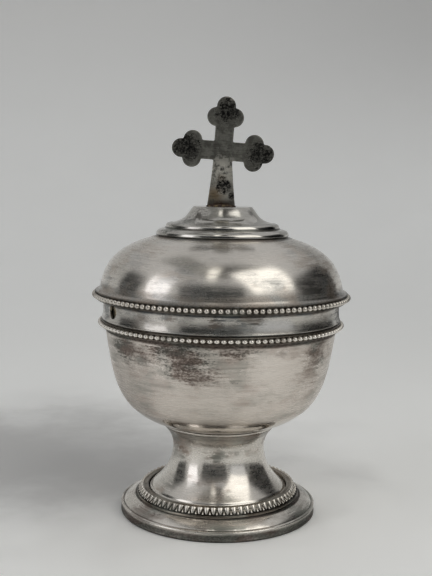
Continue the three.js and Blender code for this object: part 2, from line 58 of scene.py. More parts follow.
TURN_STEPS = 192
SMALL_TURN_STEPS = 72
MERGE_DISTANCE = 0.0005  # mm
ROW_TOLERANCE = 0.002  # mm, within which vertices lie in one row
SOLDER_GAP = 0.3  # mm, left between soldered pieces in the frame and closed here

log = logging.getLogger("ciborium")

Place = tuple[float, float]
Point = tuple[float, float, float]
Piece = bpy.types.Object
Tree = bpy.types.NodeTree
Socket = bpy.types.NodeSocket
Value = Socket | float


class Body(Enum):
    """The two bodies of the frame that pieces ride on."""

    VESSEL = "vessel"
    LID = "lid"


class Slot(Enum):
    """The record's material slots."""

    POLISHED = "silver_polished"
    WORN = "silver_worn"
    TARNISHED = "silver_tarnished"
    GILT = "silver_gilt"
    BRASS = "brass_fittings"


# Drawing and turning


@dataclass(frozen=True)
class Extent:
    """How high a node of the frame reaches and how wide it is, in mm."""

    bottom: float
    top: float
    radius: float

    @classmethod
    def of(cls, node: str) -> "Extent":
        """Measures a node.

        Args:
            node: Name of the node.

        Returns:
            Its lowest and highest z, and its half width along x.
        """
        low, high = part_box(node)
        return cls(low.z / MM, high.z / MM, (high.x - low.x) / 2 / MM)


class Outline:
    """Half the section of a turned piece, drawn knot by knot as one Bezier line."""

    ROUND = 0.55  # share of the way to a corner at which a rounded corner's handle lies

    def __init__(self, r: float, z: float) -> None:
        """Starts the line.

        Args:
            r: Distance from the axis, in mm.
            z: Height, in mm.
        """
        self.knots: list[list[Vector]] = [[Vector((r, z)) for _ in range(3)]]

    def bend(self, leaving: Place, arriving: Place, place: Place) -> "Outline":
        """Draws on to a place along a curve steered by two handles.

        Args:
            leaving: Handle next to where the line is now.
            arriving: Handle next to the new place.
            place: Where the curve ends.

        Returns:
            The outline.
        """
        self.knots[-1][2] = Vector(leaving)
        self.knots.append([Vector(place), Vector(arriving), Vector(place)])
        return self

    def line(self, *places: Place) -> "Outline":
        """Draws on to each place in turn with a straight line.

        Args:
            places: Where each line ends.

        Returns:
            The outline.
        """
        for place in places:
            start = self.knots[-1][0]
            third = (Vector(place) - start) / 3
            self.bend(tuple(start + third), tuple(Vector(place) - third), place)
        return self

    def round(self, corner: Place, place: Place) -> "Outline":
        """Draws on to a place round a corner.

        Args:
            corner: The sharp corner that the curve rounds off.
            place: Where the curve ends.

        Returns:
            The outline.
        """
        start = self.knots[-1][0]
        leaving = start.lerp(Vector(corner), self.ROUND)
        arriving = Vector(place).lerp(Vector(corner), self.ROUND)
        return self.bend(tuple(leaving), tuple(arriving), place)

    def trace(self, name: str, fineness: int) -> Piece:
        """Draws the outline in the x-z plane as a string of edges.

        Args:
            name: Name of the new object.
            fineness: Steps between two knots.

        Returns:
            A mesh object with no faces yet.
        """
        on_axis = self.knots[0][0].x == 0 and self.knots[-1][0].x == 0
        if not on_axis:
            first = self.knots[0][0].copy()
            self.line(tuple(first))
            self.knots[0][1] = self.knots.pop()[1]
        drawn = add_new(bpy.ops.curve.primitive_bezier_curve_add, location=(0, 0, 0))
        drawn.name = name
        spline = drawn.data.splines[0]
        spline.bezier_points.add(len(self.knots) - len(spline.bezier_points))
        for point, knot in zip(spline.bezier_points, self.knots):
            point.handle_left_type = point.handle_right_type = "FREE"
            co, left, right = (Vector((p.x, 0, p.y)) * MM for p in knot)
            point.co, point.handle_left, point.handle_right = co, left, right
        spline.use_cyclic_u = not on_axis
        drawn.data.resolution_u = fineness
        bpy.ops.object.convert(target="MESH")
        return bpy.context.object

    def turn(self, name: str, fineness: int = 8, steps: int = TURN_STEPS) -> Piece:
        """Sweeps the outline round the axis into a closed body.

        Args:
            name: Name of the piece.
            fineness: Steps between two knots of the outline.
            steps: Steps round the axis.

        Returns:
            The piece, smooth where it curves.
        """
        piece = self.trace(name, fineness)
        bpy.ops.object.mode_set(mode="EDIT")
        bpy.ops.mesh.select_all(action="SELECT")
        bpy.ops.mesh.spin(steps=steps, angle=math.tau, center=(0, 0, 0), axis=(0, 0, 1))
        bpy.ops.object.mode_set(mode="OBJECT")
        close_up(piece)
        return piece


def add_new(operator: Callable[..., set[str]], **settings: object) -> Piece:
    """Adds a new object with nothing else selected.

    Args:
        operator: The operator that adds it, such as bpy.ops.mesh.primitive_cube_add.
        settings: The operator's settings.

    Returns:
        The new object.
    """
    bpy.ops.object.select_all(action="DESELECT")
    operator(**settings)
    return bpy.context.object


def pick_only(piece: Piece) -> None:
    """Makes a piece the one selected and active object.

    Args:
        piece: The object to work on.
    """
    bpy.ops.object.select_all(action="DESELECT")
    piece.select_set(True)
    bpy.context.view_layer.objects.active = piece


def close_up(piece: Piece, crease: float = 32) -> None:
    """Merges seams and poles, turns faces outwards and shades the piece smooth.

    Args:
        piece: The piece to finish.
        crease: Degrees past which an edge stays sharp.
    """
    pick_only(piece)
    bpy.ops.object.mode_set(mode="EDIT")
    bpy.ops.mesh.select_all(action="SELECT")
    bpy.ops.mesh.remove_doubles(threshold=MERGE_DISTANCE * MM)
    bpy.ops.mesh.dissolve_degenerate(threshold=MERGE_DISTANCE * MM)
    bpy.ops.mesh.select_all(action="SELECT")
    bpy.ops.mesh.normals_make_consistent(inside=False)
    bpy.ops.object.mode_set(mode="OBJECT")
    bpy.ops.object.shade_smooth_by_angle(angle=math.radians(crease))


def settle_scaled(piece: Piece) -> None:
    """Leaves a piece's place, turn and scale in its mesh."""
    pick_only(piece)
    bpy.ops.object.transform_apply(location=True, rotation=True, scale=True)


def settle(piece: Piece, turn: Point = (0, 0, 0), move: Point = (0, 0, 0)) -> None:
    """Turns and moves a piece, and leaves its place in its mesh.

    Args:
        piece: The piece.
        turn: Turns about x, y and z, in radians.
        move: Shift, in mm.
    """
    piece.rotation_euler = Euler(turn)
    piece.location = Vector(move) * MM
    settle_scaled(piece)


def join(name: str, pieces: list[Piece]) -> Piece:
    """Joins pieces into one object.

    Args:
        name: Name of the joined piece.
        pieces: The pieces, of which the first keeps its materials in front.

    Returns:
        The joined piece.
    """
    pick_only(pieces[0])
    for piece in pieces:
        piece.select_set(True)
    bpy.ops.object.join()
    pieces[0].name = name
    return pieces[0]


def ring_of(piece: Piece, count: int) -> None:
    """Repeats a mesh round the axis.

    Args:
        piece: The piece that holds the first copy.
        count: How many copies the full ring has.
    """
    pick_only(piece)
    bpy.ops.object.mode_set(mode="EDIT")
    bpy.ops.mesh.select_all(action="SELECT")
    last = math.tau * (count - 1) / count
    bpy.ops.mesh.spin(steps=count - 1, dupli=True, angle=last, center=(0, 0, 0), axis=(0, 0, 1))
    bpy.ops.object.mode_set(mode="OBJECT")


def apply_all(piece: Piece) -> None:
    """Applies every modifier of a piece, in order.

    Args:
        piece: The piece.
    """
    pick_only(piece)
    for modifier in list(piece.modifiers):
        bpy.ops.object.modifier_apply(modifier=modifier.name)


def carve(piece: Piece, tool: Piece, operation: str = "DIFFERENCE") -> None:
    """Cuts one body with another, or keeps what they share, and throws the tool away.

    Args:
        piece: The body that stays.
        tool: The body that cuts.
        operation: The Boolean modifier's operation.
    """
    cutter = piece.modifiers.new("cut", "BOOLEAN")
    cutter.operation = operation
    cutter.solver = "EXACT"
    cutter.object = tool
    apply_all(piece)
    bpy.data.objects.remove(tool, do_unlink=True)


def resize_rows(piece: Piece, axis: int, share: Callable[[float], Point]) -> None:
    """Resizes a piece row by row along one of its axes.

    Args:
        piece: The piece, with its origin on that axis.
        axis: 0 for x and 2 for z.
        share: Gives how much a row grows each way, from its place on the axis in mm.
    """
    for level in sorted({round(vertex.co[axis] / MM, 3) for vertex in piece.data.vertices}):
        bpy.ops.object.mode_set(mode="EDIT")
        bpy.ops.mesh.select_all(action="DESELECT")
        bpy.ops.object.mode_set(mode="OBJECT")
        for vertex in piece.data.vertices:
            vertex.select = abs(vertex.co[axis] / MM - level) < ROW_TOLERANCE
        bpy.ops.object.mode_set(mode="EDIT")
        middle = [0.0, 0.0, 0.0]
        middle[axis] = level * MM
        bpy.ops.transform.resize(value=share(level), center_override=middle)
        bpy.ops.object.mode_set(mode="OBJECT")


def tapered_wedge(
    name: str, length: float, width: float, height: float, tip: float = 0.2, softening: float = 0.16,
) -> Piece:
    """Models one wedge of a stamped border, lying along x with its narrow tip at +x.

    Args:
        name: Name of the wedge.
        length: Its length, in mm.
        width: Its width at the blunt end, in mm.
        height: How thick it is, in mm.
        tip: Width of the tip, as a share of the blunt end's.
        softening: Width of the bevel along its edges, in mm.

    Returns:
        The wedge, centred on the origin.
    """
    wedge = add_new(
        bpy.ops.mesh.primitive_cone_add, vertices=10, radius1=width / 2 * MM, radius2=width / 2 * tip * MM,
        depth=length * MM, rotation=(0, math.pi / 2, 0),
    )
    wedge.name = name
    wedge.scale = (height / width, 1, 1)
    settle_scaled(wedge)
    soften = wedge.modifiers.new("soften", "BEVEL")
    soften.width = softening * MM
    soften.segments = 2
    soften.limit_method = "ANGLE"
    soften.angle_limit = math.radians(45)
    apply_all(wedge)
    return wedge


def present(
    piece: Piece, body: Body, nodes: tuple[str, ...], finishes: list["Finish"],
) -> None:
    """Dresses a finished piece and hangs it on its body.

    Args:
        piece: The piece.
        body: The body that it rides on.
        nodes: The nodes of the frame that it stands for.
        finishes: Its finishes, in the order of its material slots.
    """
    piece.data.materials.clear()
    for finish in finishes:
        piece.data.materials.append(finish.material())
    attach(piece, body.value)
    if nodes:
        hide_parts(*nodes)
    faces = sum(len(polygon.vertices) - 2 for polygon in piece.data.polygons)
    log.info("%s rides on %s: %d triangles", piece.name, body.value, faces)


def finish_from(piece: Piece, first: int) -> None:
    """Gives a piece's second finish to its faces from one on.

    Args:
        piece: The piece.
        first: Number of the first of those faces.
    """
    for face in piece.data.polygons:
        face.material_index = int(face.index >= first)


def gild_inside(piece: Piece, mouth: float) -> None:
    """Gives a shell's second finish to the faces that look at the middle of its mouth.

    Args:
        piece: The shell.
        mouth: Height of its open edge, in mm.
    """
    middle = Vector((0, 0, mouth * MM))
    for face in piece.data.polygons:
        face.material_index = int(face.normal.dot(face.center - middle) < 0)


# Finishes

# Settings that nodes share: a smooth change from one range to another, and sums kept from 0 to 1.
SMOOTH = {"interpolation_type": "SMOOTHSTEP"}
PLUS = {"operation": "ADD", "use_clamp": True}
TIMES = {"operation": "MULTIPLY", "use_clamp": True}
LARGER = {"operation": "MAXIMUM", "use_clamp": True}
LEVEL = (1, 1, 0)  # keeps a place's way out from the axis and drops its height
SEAM_CORE = 0.3  # share of a seam's width that is dark all over, with grime and painted shade
BLOT_CORE = 0.1  # share of a blotch's size that is dark all over
BLOT_EDGE = 1.1  # share of its size at which it has faded out


def linear(code: str) -> tuple[float, float, float, float]:
    """Turns an sRGB hex colour into the linear one that a shader takes.

    Args:
        code: The colour, such as "#c0bfba".

    Returns:
        Linear red, green, blue and alpha.
    """
    parts = [int(code[i:i + 2], 16) / 255 for i in (1, 3, 5)]
    return (*(p / 12.92 if p <= 0.04045 else ((p + 0.055) / 1.055) ** 2.4 for p in parts), 1.0)


def per_mm(size: float) -> float:
    """Turns the real size of a pattern's grain, in mm, into a texture's scale."""
    return 1 / (size * MM)


def add_node(
    tree: Tree, kind: str, inputs: tuple | dict = (), output: str = "", **settings: object,
) -> Socket | None:
    """Adds a node with its settings and links.

    Args:
        tree: The node tree.
        kind: The node's type, without its "ShaderNode" in front.
        inputs: What goes in, in the order of the inputs in use or by name: sockets or values.
        output: Name of the output to return.
        settings: The node's own settings.

    Returns:
        The named output, or else the first one in use.
    """
    node = tree.nodes.new("ShaderNode" + kind)
    for name, value in settings.items():
        setattr(node, name, value)
    in_use = [socket for socket in node.inputs if socket.enabled]
    for key, value in inputs.items() if isinstance(inputs, dict) else enumerate(inputs):
        socket = node.inputs[key] if isinstance(key, str) else in_use[key]
        if isinstance(value, Socket):
            tree.links.new(value, socket)
        else:
            socket.default_value = value
    if output:
        return node.outputs[output]
    return next((socket for socket in node.outputs if socket.enabled), None)


@dataclass(frozen=True)
class Smudge:
    """A blotch on the surface."""

    at: Point  # mm
    size: float  # mm, from its middle to where it has nearly faded out
    strength: float = 1.0
    wide: float = 1.0  # how many times wider than high it looks from the front

    def reach(self, tree: Tree, place: Socket, fray: Socket) -> Socket:
        """Works out how far a place lies from the blotch's middle.

        Args:
            tree: The node tree.
            place: The place on the object.
            fray: Noise around 0 that frays the blotch's edge.

        Returns:
            0 in the middle and 1 at the blotch's size.
        """
        middle = tuple(value * MM for value in self.at)
        squeeze = tuple(1 / (self.size * MM * share) for share in (self.wide, 1, 1))
        offset = add_node(tree, "VectorMath", (place, middle), operation="SUBTRACT")
        offset = add_node(tree, "VectorMath", (offset, squeeze), operation="MULTIPLY")
        away = add_node(tree, "VectorMath", (offset,), operation="LENGTH")
        return add_node(tree, "Math", (away, fray), **PLUS)


@dataclass(frozen=True)
class Seam:
    """A ring of grime and painted shade where two surfaces meet."""

    radius: float  # mm
    height: float  # mm
    width: float  # mm, from the ring to where the grime fades out
    strength: float = 1.0


def spots(tree: Tree, place: Socket, smudges: tuple[Smudge, ...], fray: Socket) -> Value:
    """Adds up blotches with frayed edges.

    Args:
        tree: The node tree.
        place: The place on the object.
        smudges: The blotches.
        fray: Noise around 0 that frays their edges.

    Returns:
        How much they cover, from 0 to 1.
    """
    cover = 0.0
    for smudge in smudges:
        away = smudge.reach(tree, place, fray)
        blot = add_node(tree, "MapRange", (away, BLOT_CORE, BLOT_EDGE, smudge.strength, 0), **SMOOTH)
        cover = add_node(tree, "Math", (cover, blot), **LARGER)
    return cover


def rings(tree: Tree, place: Socket, seams: tuple[Seam, ...]) -> Value:
    """Adds up rings of grime and painted shade.

    Args:
        tree: The node tree.
        place: The place on the object.
        seams: The rings.

    Returns:
        How much they cover, from 0 to 1.
    """
    level = add_node(tree, "VectorMath", (place, LEVEL), operation="MULTIPLY")
    radius = add_node(tree, "VectorMath", (level,), operation="LENGTH")
    height = add_node(tree, "SeparateXYZ", (place,), output="Z")
    section = add_node(tree, "CombineXYZ", {"X": radius, "Z": height})
    cover = 0.0
    for seam in seams:
        middle = (seam.radius * MM, 0, seam.height * MM)
        away = add_node(tree, "VectorMath", (section, middle), operation="DISTANCE")
        core, edge = seam.width * SEAM_CORE * MM, seam.width * MM
        ring = add_node(tree, "MapRange", (away, core, edge, seam.strength, 0), **SMOOTH)
        cover = add_node(tree, "Math", (cover, ring), **LARGER)
    return cover


def turned_lines(
    tree: Tree, place: Socket, gap: float, run: float, detail: float, roughness: float = 0.5,
) -> Socket:
    """Draws fine lines that run round the axis, on upright and level surfaces alike.

    Args:
        tree: The node tree.
        place: The place on the object.
        gap: Spacing of the lines, in mm.
        run: How many times a line changes on its way round, over a circle of 2 pi.
        detail: How many finer layers they have.
        roughness: How strong those are.

    Returns:
        The lines, around 0.5.
    """
    add = partial(add_node, tree)
    level = add("VectorMath", (place, LEVEL), operation="MULTIPLY")
    heading = add("VectorMath", (level,), operation="NORMALIZE")
    way_round = add("VectorMath", (heading, (run, run, 0)), operation="MULTIPLY")
    rise = add("VectorMath", (place, (0, 0, per_mm(gap))), operation="MULTIPLY")
    vector = add("VectorMath", (way_round, rise), operation="ADD")
    radius = add("VectorMath", (level,), operation="LENGTH")
    steps = add("Math", (radius, per_mm(gap)), operation="MULTIPLY")
    inputs = {"Vector": vector, "W": steps, "Scale": 1, "Detail": detail, "Roughness": roughness}
    return add("TexNoise", inputs, noise_dimensions="4D")


def relief(tree: Tree, *layers: tuple[Socket, float, float]) -> Socket:
    """Lays fine reliefs one on another.

    Args:
        tree: The node tree.
        layers: Height, from 0 to 1, strength, and depth in mm of each.

    Returns:
        The normal.
    """
    under = {}
    for height, strength, depth in layers:
        inputs = {"Strength": strength, "Distance": depth * MM, "Height": height, **under}
        under = {"Normal": add_node(tree, "Bump", inputs)}
    return under["Normal"]


class Finish:
    """A finish with one procedural material, made when it is first asked for."""

    name: str

    def shade(self, tree: Tree) -> Socket:
        """Builds the finish's nodes and returns the shader's output."""
        raise NotImplementedError

    def material(self) -> bpy.types.Material:
        """Builds the finish's material the first time.

        Returns:
            The material.
        """
        known = bpy.data.materials.get(self.name)
        if known:
            return known
        made = bpy.data.materials.new(self.name)
        made.use_nodes = True
        made.node_tree.nodes.clear()
        shader = self.shade(made.node_tree)
        add_node(made.node_tree, "OutputMaterial", {"Surface": shader})
        return made


@dataclass(frozen=True)
class SilverPlate(Finish):
    """Silver plated on brass, spun and burnished, then left to tarnish.

    Burnished silver mirrors the room in a warm white. The spinning tool and years of wiping leave
    fine lines round it, which draw every reflection out across them. Tarnish dulls it in patches,
    first pinkish brown and then black, and stays where a cloth doesn't reach. The dark rings and
    spots that stand for it also paint the shade in joints and under wires, and on the dome some
    paint dark reflections.
    """

    name: str
    bright: str = "#e6e1d9"
    film: str = "#a39689"
    cool_film: str = "#8f9189"
    soot: str = "#2e2b28"
    gloss: float = 0.14  # roughness where it is clean
    dull: float = 0.36  # roughness where it is tarnished
    haze: float = 0.1  # share of what it mirrors that a film too thin to see scatters
    haze_width: float = 0.3  # how much rougher that share is
    speckle: float = 0.25  # how unevenly the haze lies
    brushed: float = 0.8  # how much more it blurs across the spinning lines than along them
    line_gap: float = 0.35  # mm; real lines are finer, this shows in the render
    line_depth: float = 0.004  # mm
    line_run: float = 1.6
    film_size: float = 11  # mm, across a patch of tarnish
    film_start: float = 0.46
    film_end: float = 0.66
    film_share: float = 0.6
    film_drawn: float = 1.9  # how many times wider than high the patches are
    mottle: float = 0.7  # mm, across the specks that tarnish starts as
    mottle_depth: float = 0.003  # mm
    soot_start: float = 0.66
    soot_end: float = 0.78
    soot_share: float = 0.6
    # rings of grime that also paint the shade in joints, creases and under wires
    seams: tuple[Seam, ...] = ()
    smudges: tuple[Smudge, ...] = ()  # black tarnish, and on the dome painted shade and painted dark reflections
    blushes: tuple[Smudge, ...] = ()  # thin pinkish tarnish
    wiped: tuple[Seam, ...] = ()  # rings that a cloth keeps bright

    def shade(self, tree: Tree) -> Socket:
        """Builds the silver's nodes.

        Args:
            tree: The material's node tree.

        Returns:
            The shader's output.
        """
        add = partial(add_node, tree)
        place = add("TexCoord", output="Object")
        # Lines of the spinning tool, longer scratches, and the streaks that a cloth leaves
        lines = turned_lines(tree, place, self.line_gap, self.line_run, 3, 0.6)
        scratches = turned_lines(tree, place, self.line_gap * 0.7, self.line_run * 5, 1)
        scratches = add("MapRange", (scratches, 0.62, 0.7), **SMOOTH)
        streaks = turned_lines(tree, place, self.line_gap * 2.4, self.line_run * 3, 4, 0.6)
        # Patches of tarnish, which are drawn out sideways, their tints, and the specks in them
        drawn = add("Mapping", {"Vector": place, "Scale": (1, 1, self.film_drawn)})
        patches, tints, specks = (
            add("TexNoise", {"Vector": drawn, "Scale": per_mm(size), "Detail": detail, "Roughness": rough})
            for size, detail, rough in (
                (self.film_size, 7, 0.62), (self.film_size * 0.7, 2, 0.5), (self.mottle, 4, 0.7),
            )
        )
        fray = add("Math", (patches, streaks), operation="ADD")
        fray = add("Math", (fray, specks), operation="ADD")
        fray = add("MapRange", (fray, 1.1, 1.9, 0.55, -0.55), **SMOOTH)
        # Film and soot, with grime and painted shade in the seams and black spots, and less of all where a
        # cloth wipes
        kept = add("Math", (1.0, rings(tree, place, self.wiped)), operation="SUBTRACT")
        grime_and_shade = rings(tree, place, self.seams), spots(tree, place, self.smudges, fray)
        grime_and_shade = add("Math", grime_and_shade, **LARGER)
        film = self.film_cover(tree, place, patches, lines, fray)
        film = add("Math", (film, kept), **TIMES)
        film = add("Math", (film, grime_and_shade), **PLUS)
        soot = add("Math", (patches, add("MapRange", (specks, 0.3, 0.7, 0.8, 1.15), **SMOOTH)), **TIMES)
        soot = add("MapRange", (soot, self.soot_start, self.soot_end, 0, self.soot_share), **SMOOTH)
        black = add("Math", (grime_and_shade, add("MapRange", (specks, 0.34, 0.66, 0.4, 0.9), **SMOOTH)), **TIMES)
        soot = add("Math", (soot, black), **PLUS)
        # What they do to the colour and to the polish
        tone = add("MapRange", (tints, 0.4, 0.6), **SMOOTH)
        tone = add("Mix", (tone, linear(self.film), linear(self.cool_film)), data_type="RGBA")
        colour = add("Mix", (film, linear(self.bright), tone), data_type="RGBA")
        colour = add("Mix", (soot, colour, linear(self.soot)), data_type="RGBA")
        rough = add("MapRange", (film, 0, 1, self.gloss, self.dull), **SMOOTH)
        rough = add("Math", (rough, add("MapRange", (lines, 0.35, 0.75, 0, 0.06), **SMOOTH)), **PLUS)
        rough = add("Math", (rough, add("MapRange", (soot, 0, 1, 0, 0.25), **SMOOTH)), **PLUS)
        rough = add("Math", (rough, add("MapRange", (kept, 0, 1, 0.15, 1), **SMOOTH)), **TIMES)
        mirror = {
            "Base Color": colour,
            "Metallic": 1.0,
            "Roughness": rough,
            "Anisotropic": self.brushed,
            "Anisotropic Rotation": 0.25,
            "Tangent": add("VectorMath", ((0, 0, 1), place), operation="CROSS_PRODUCT"),
            "Normal": relief(
                tree, (lines, 1, self.line_depth), (scratches, 0.6, self.line_depth),
                (specks, 0.3, self.mottle_depth),
            ),
        }
        # A clear mirror, and over it a share that the thinnest film scatters
        clear = add("BsdfPrincipled", mirror)
        mirror["Roughness"] = add("Math", (rough, self.haze_width), **PLUS)
        hazy = add("BsdfPrincipled", mirror)
        share = add("Math", (add("MapRange", (film, 0, 1, 0, 0.45), **SMOOTH), self.haze), **PLUS)
        uneven = add("MapRange", (streaks, 0.38, 0.7, 0, self.speckle), **SMOOTH)
        share = add("Math", (share, uneven), **PLUS)
        share = add("Math", (share, kept), **TIMES)
        return add("MixShader", (share, clear, hazy))

    def film_cover(
        self, tree: Tree, place: Socket, patches: Socket, lines: Socket, fray: Socket,
    ) -> Socket:
        """Works out where the thin tarnish lies, thicker in the lines than between them.

        Args:
            tree: The material's node tree.
            place: The place on the object.
            patches: Noise of the size of a patch.
            lines: The spinning lines.
            fray: Noise around 0 that frays the blushes.

        Returns:
            How much it covers, from 0 to 1.
        """
        add = partial(add_node, tree)
        film = add("MapRange", (patches, self.film_start, self.film_end, 0, self.film_share), **SMOOTH)
        film = add("Math", (film, spots(tree, place, self.blushes, fray)), **LARGER)
        return add("Math", (film, add("MapRange", (lines, 0.3, 0.7, 0.55, 1.25), **SMOOTH)), **TIMES)


@dataclass(frozen=True)
class GrimyShadedWire(SilverPlate):
    """The strip of a stamped wire, too fine for a cloth: grime lies between its beads, and its dark
    colour also paints the shade there.

    Its silver is tarnished grey-brown and painted dark all over for the shade between the beads, so
    that each bright bead stands out on it.
    """

    gloss: float = 0.3
    film_start: float = 0.3


@dataclass(frozen=True)
class RubbedBeads(SilverPlate):
    """The raised beads and tongues of a stamped wire, rubbed bright by hands and cloths.

    They were rolled and not spun, so the lines that run round them are faint, and each bead has one
    soft highlight.
    """

    gloss: float = 0.22
    brushed: float = 0.0
    line_depth: float = 0.0005  # mm
    film_start: float = 0.5
    haze: float = 0.25


@dataclass(frozen=True)
class BlackenedPlate(Finish):
    """Sawn silver plate that was never polished: dark grey with a dead lustre.

    Black sulphide sits in pits and in crusts, thickest on the buds of the cross. Handling keeps the
    shaft paler, and the heat of soldering has turned its foot brown. A pale spot on the top bud is a
    painted highlight.
    """

    name: str
    bare: str = "#8c8c85"
    dark: str = "#5f5f5a"
    black: str = "#0b0a0a"
    roughness: float = 0.42
    crust_roughness: float = 0.7
    cloud_size: float = 1.9  # mm
    pit_size: float = 0.75  # mm
    stroke_size: float = 2.2  # mm, length of a file stroke
    stroke_slants: tuple[float, float] = (35, -50)  # degrees
    crusts: tuple[Smudge, ...] = ()
    # Paler rubbed spots, and one painted highlight
    rubbed_and_glint: tuple[Smudge, ...] = ()
    rubbed_and_glint_colour: str = "#efebe0"
    warm: tuple[Smudge, ...] = ()
    warm_colour: str = "#7d6540"
    burnt: tuple[Smudge, ...] = ()
    burnt_colour: str = "#3c2317"

    def shade(self, tree: Tree) -> Socket:
        """Builds the blackened silver's nodes.

        Args:
            tree: The material's node tree.

        Returns:
            The shader's output.
        """
        add = partial(add_node, tree)
        place = add("TexCoord", output="Object")
        clouds, grain = (
            add("TexNoise", {"Vector": place, "Scale": per_mm(size), "Detail": detail, "Roughness": 0.7})
            for size, detail in ((self.cloud_size, 5), (self.pit_size, 3))
        )
        strokes = [self.strokes(tree, place, slant) for slant in self.stroke_slants]
        strokes = add("Math", tuple(strokes), **TIMES)
        fray = add("MapRange", (clouds, 0.3, 0.7, 0.55, -0.55), **SMOOTH)
        fray = add("Math", (fray, add("MapRange", (grain, 0.3, 0.7, 0.3, -0.3), **SMOOTH)), **PLUS)
        colour = add("MapRange", (clouds, 0.35, 0.65), **SMOOTH)
        colour = add("Mix", (colour, linear(self.dark), linear(self.bare)), data_type="RGBA")
        for smudges, coat in (
            (self.rubbed_and_glint, self.rubbed_and_glint_colour), (self.warm, self.warm_colour), (self.burnt, self.burnt_colour),
        ):
            cover = spots(tree, place, smudges, fray)
            colour = add("Mix", (cover, colour, linear(coat)), data_type="RGBA")
        filed = add("MapRange", (strokes, 0.14, 0.2, 0.35, 0), **SMOOTH)
        colour = add("Mix", (filed, colour, linear(self.black)), data_type="RGBA")
        crust = add("MapRange", (spots(tree, place, self.crusts, fray), 0.05, 0.4), **SMOOTH)
        sooty = add("Math", (crust, add("MapRange", (grain, 0.42, 0.66, 1, 0.45), **SMOOTH)), **TIMES)
        sooty = add("Math", (sooty, add("MapRange", (grain, 0.62, 0.7, 0, 0.6), **SMOOTH)), **LARGER)
        colour = add("Mix", (sooty, colour, linear(self.black)), data_type="RGBA")
        rough = add("MapRange", (sooty, 0, 1, self.roughness, self.crust_roughness), **SMOOTH)
        normal = relief(tree, (strokes, 0.4, 0.02), (grain, 0.9, 0.08), (sooty, 0.8, 0.12))
        metal = {"Base Color": colour, "Metallic": 0.85, "Roughness": rough, "Normal": normal}
        return add("BsdfPrincipled", metal)

    def strokes(self, tree: Tree, place: Socket, slant: float) -> Socket:
        """Draws file strokes.

        Args:
            tree: The node tree.
            place: The place on the object.
            slant: How they slant, in degrees.

        Returns:
            The strokes, around 0.5.
        """
        turned = {"Vector": place, "Rotation": (0, math.radians(slant), 0), "Scale": (1, 1, 11)}
        inputs = {"Vector": add_node(tree, "Mapping", turned), "Scale": per_mm(self.stroke_size), "Detail": 2}
        return add_node(tree, "TexNoise", inputs)


@dataclass(frozen=True)
class WashGilding(Finish):
    """A thin wash of gold over silver plate, as the inside of an altar vessel has.

    Gold keeps its colour where it is left alone, and the silver greys through it where the lid
    slides and where a cloth wipes.
    """

    name: str
    gold: str = "#d8b469"
    silver: str = "#c9c3b6"
    roughness: float = 0.24
    worn_roughness: float = 0.16  # added where it is worn
    wear_size: float = 5  # mm
    wear_start: float = 0.42
    wear_range: float = 0.26
    line_gap: float = 0.5  # mm
    line_run: float = 3

    def shade(self, tree: Tree) -> Socket:
        """Builds the gilding's nodes.

        Args:
            tree: The material's node tree.

        Returns:
            The shader's output.
        """
        add = partial(add_node, tree)
        place = add("TexCoord", output="Object")
        lines = turned_lines(tree, place, self.line_gap, self.line_run, 3)
        grain = {"Vector": place, "Scale": per_mm(self.wear_size), "Detail": 6, "Roughness": 0.6}
        clouds = add("TexNoise", grain)
        wear = add("MapRange", (clouds, self.wear_start, self.wear_start + self.wear_range), **SMOOTH)
        worn = add("Math", (wear, add("MapRange", (lines, 0.3, 0.7, 0.3, 1), **SMOOTH)), **TIMES)
        colour = add("Mix", (worn, linear(self.gold), linear(self.silver)), data_type="RGBA")
        roughest = self.roughness + self.worn_roughness
        rough = add("MapRange", (clouds, 0.3, 0.7, self.roughness, roughest), **SMOOTH)
        normal = relief(tree, (lines, 0.8, 0.004))
        metal = {"Base Color": colour, "Metallic": 1.0, "Roughness": rough, "Normal": normal}
        return add("BsdfPrincipled", metal)


@dataclass(frozen=True)
class DullBrass(Finish):
    """Brass turned from rod or sheet and never polished.

    The tool leaves rings round it, and with age it goes from yellow to a matt yellowish brown.
    """

    name: str
    fresh: str = "#b0935a"
    aged: str = "#6b5635"
    roughness: float = 0.36
    aged_roughness: float = 0.2  # added where it has aged
    line_gap: float = 0.3  # mm
    line_run: float = 0.8
    cloud_size: float = 2.5  # mm

    def shade(self, tree: Tree) -> Socket:
        """Builds the brass's nodes.

        Args:
            tree: The material's node tree.

        Returns:
            The shader's output.
        """
        add = partial(add_node, tree)
        place = add("TexCoord", output="Object")
        lines = turned_lines(tree, place, self.line_gap, self.line_run, 2)
        grain = {"Vector": place, "Scale": per_mm(self.cloud_size), "Detail": 6, "Roughness": 0.65}
        clouds = add("TexNoise", grain)
        age = add("MapRange", (clouds, 0.4, 0.65), **SMOOTH)
        colour = add("Mix", (age, linear(self.fresh), linear(self.aged)), data_type="RGBA")
        roughest = self.roughness + self.aged_roughness
        rough = add("MapRange", (clouds, 0.3, 0.7, self.roughness, roughest), **SMOOTH)
        normal = relief(tree, (lines, 0.9, 0.01))
        metal = {"Base Color": colour, "Metallic": 1.0, "Roughness": rough, "Normal": normal}
        return add("BsdfPrincipled", metal)


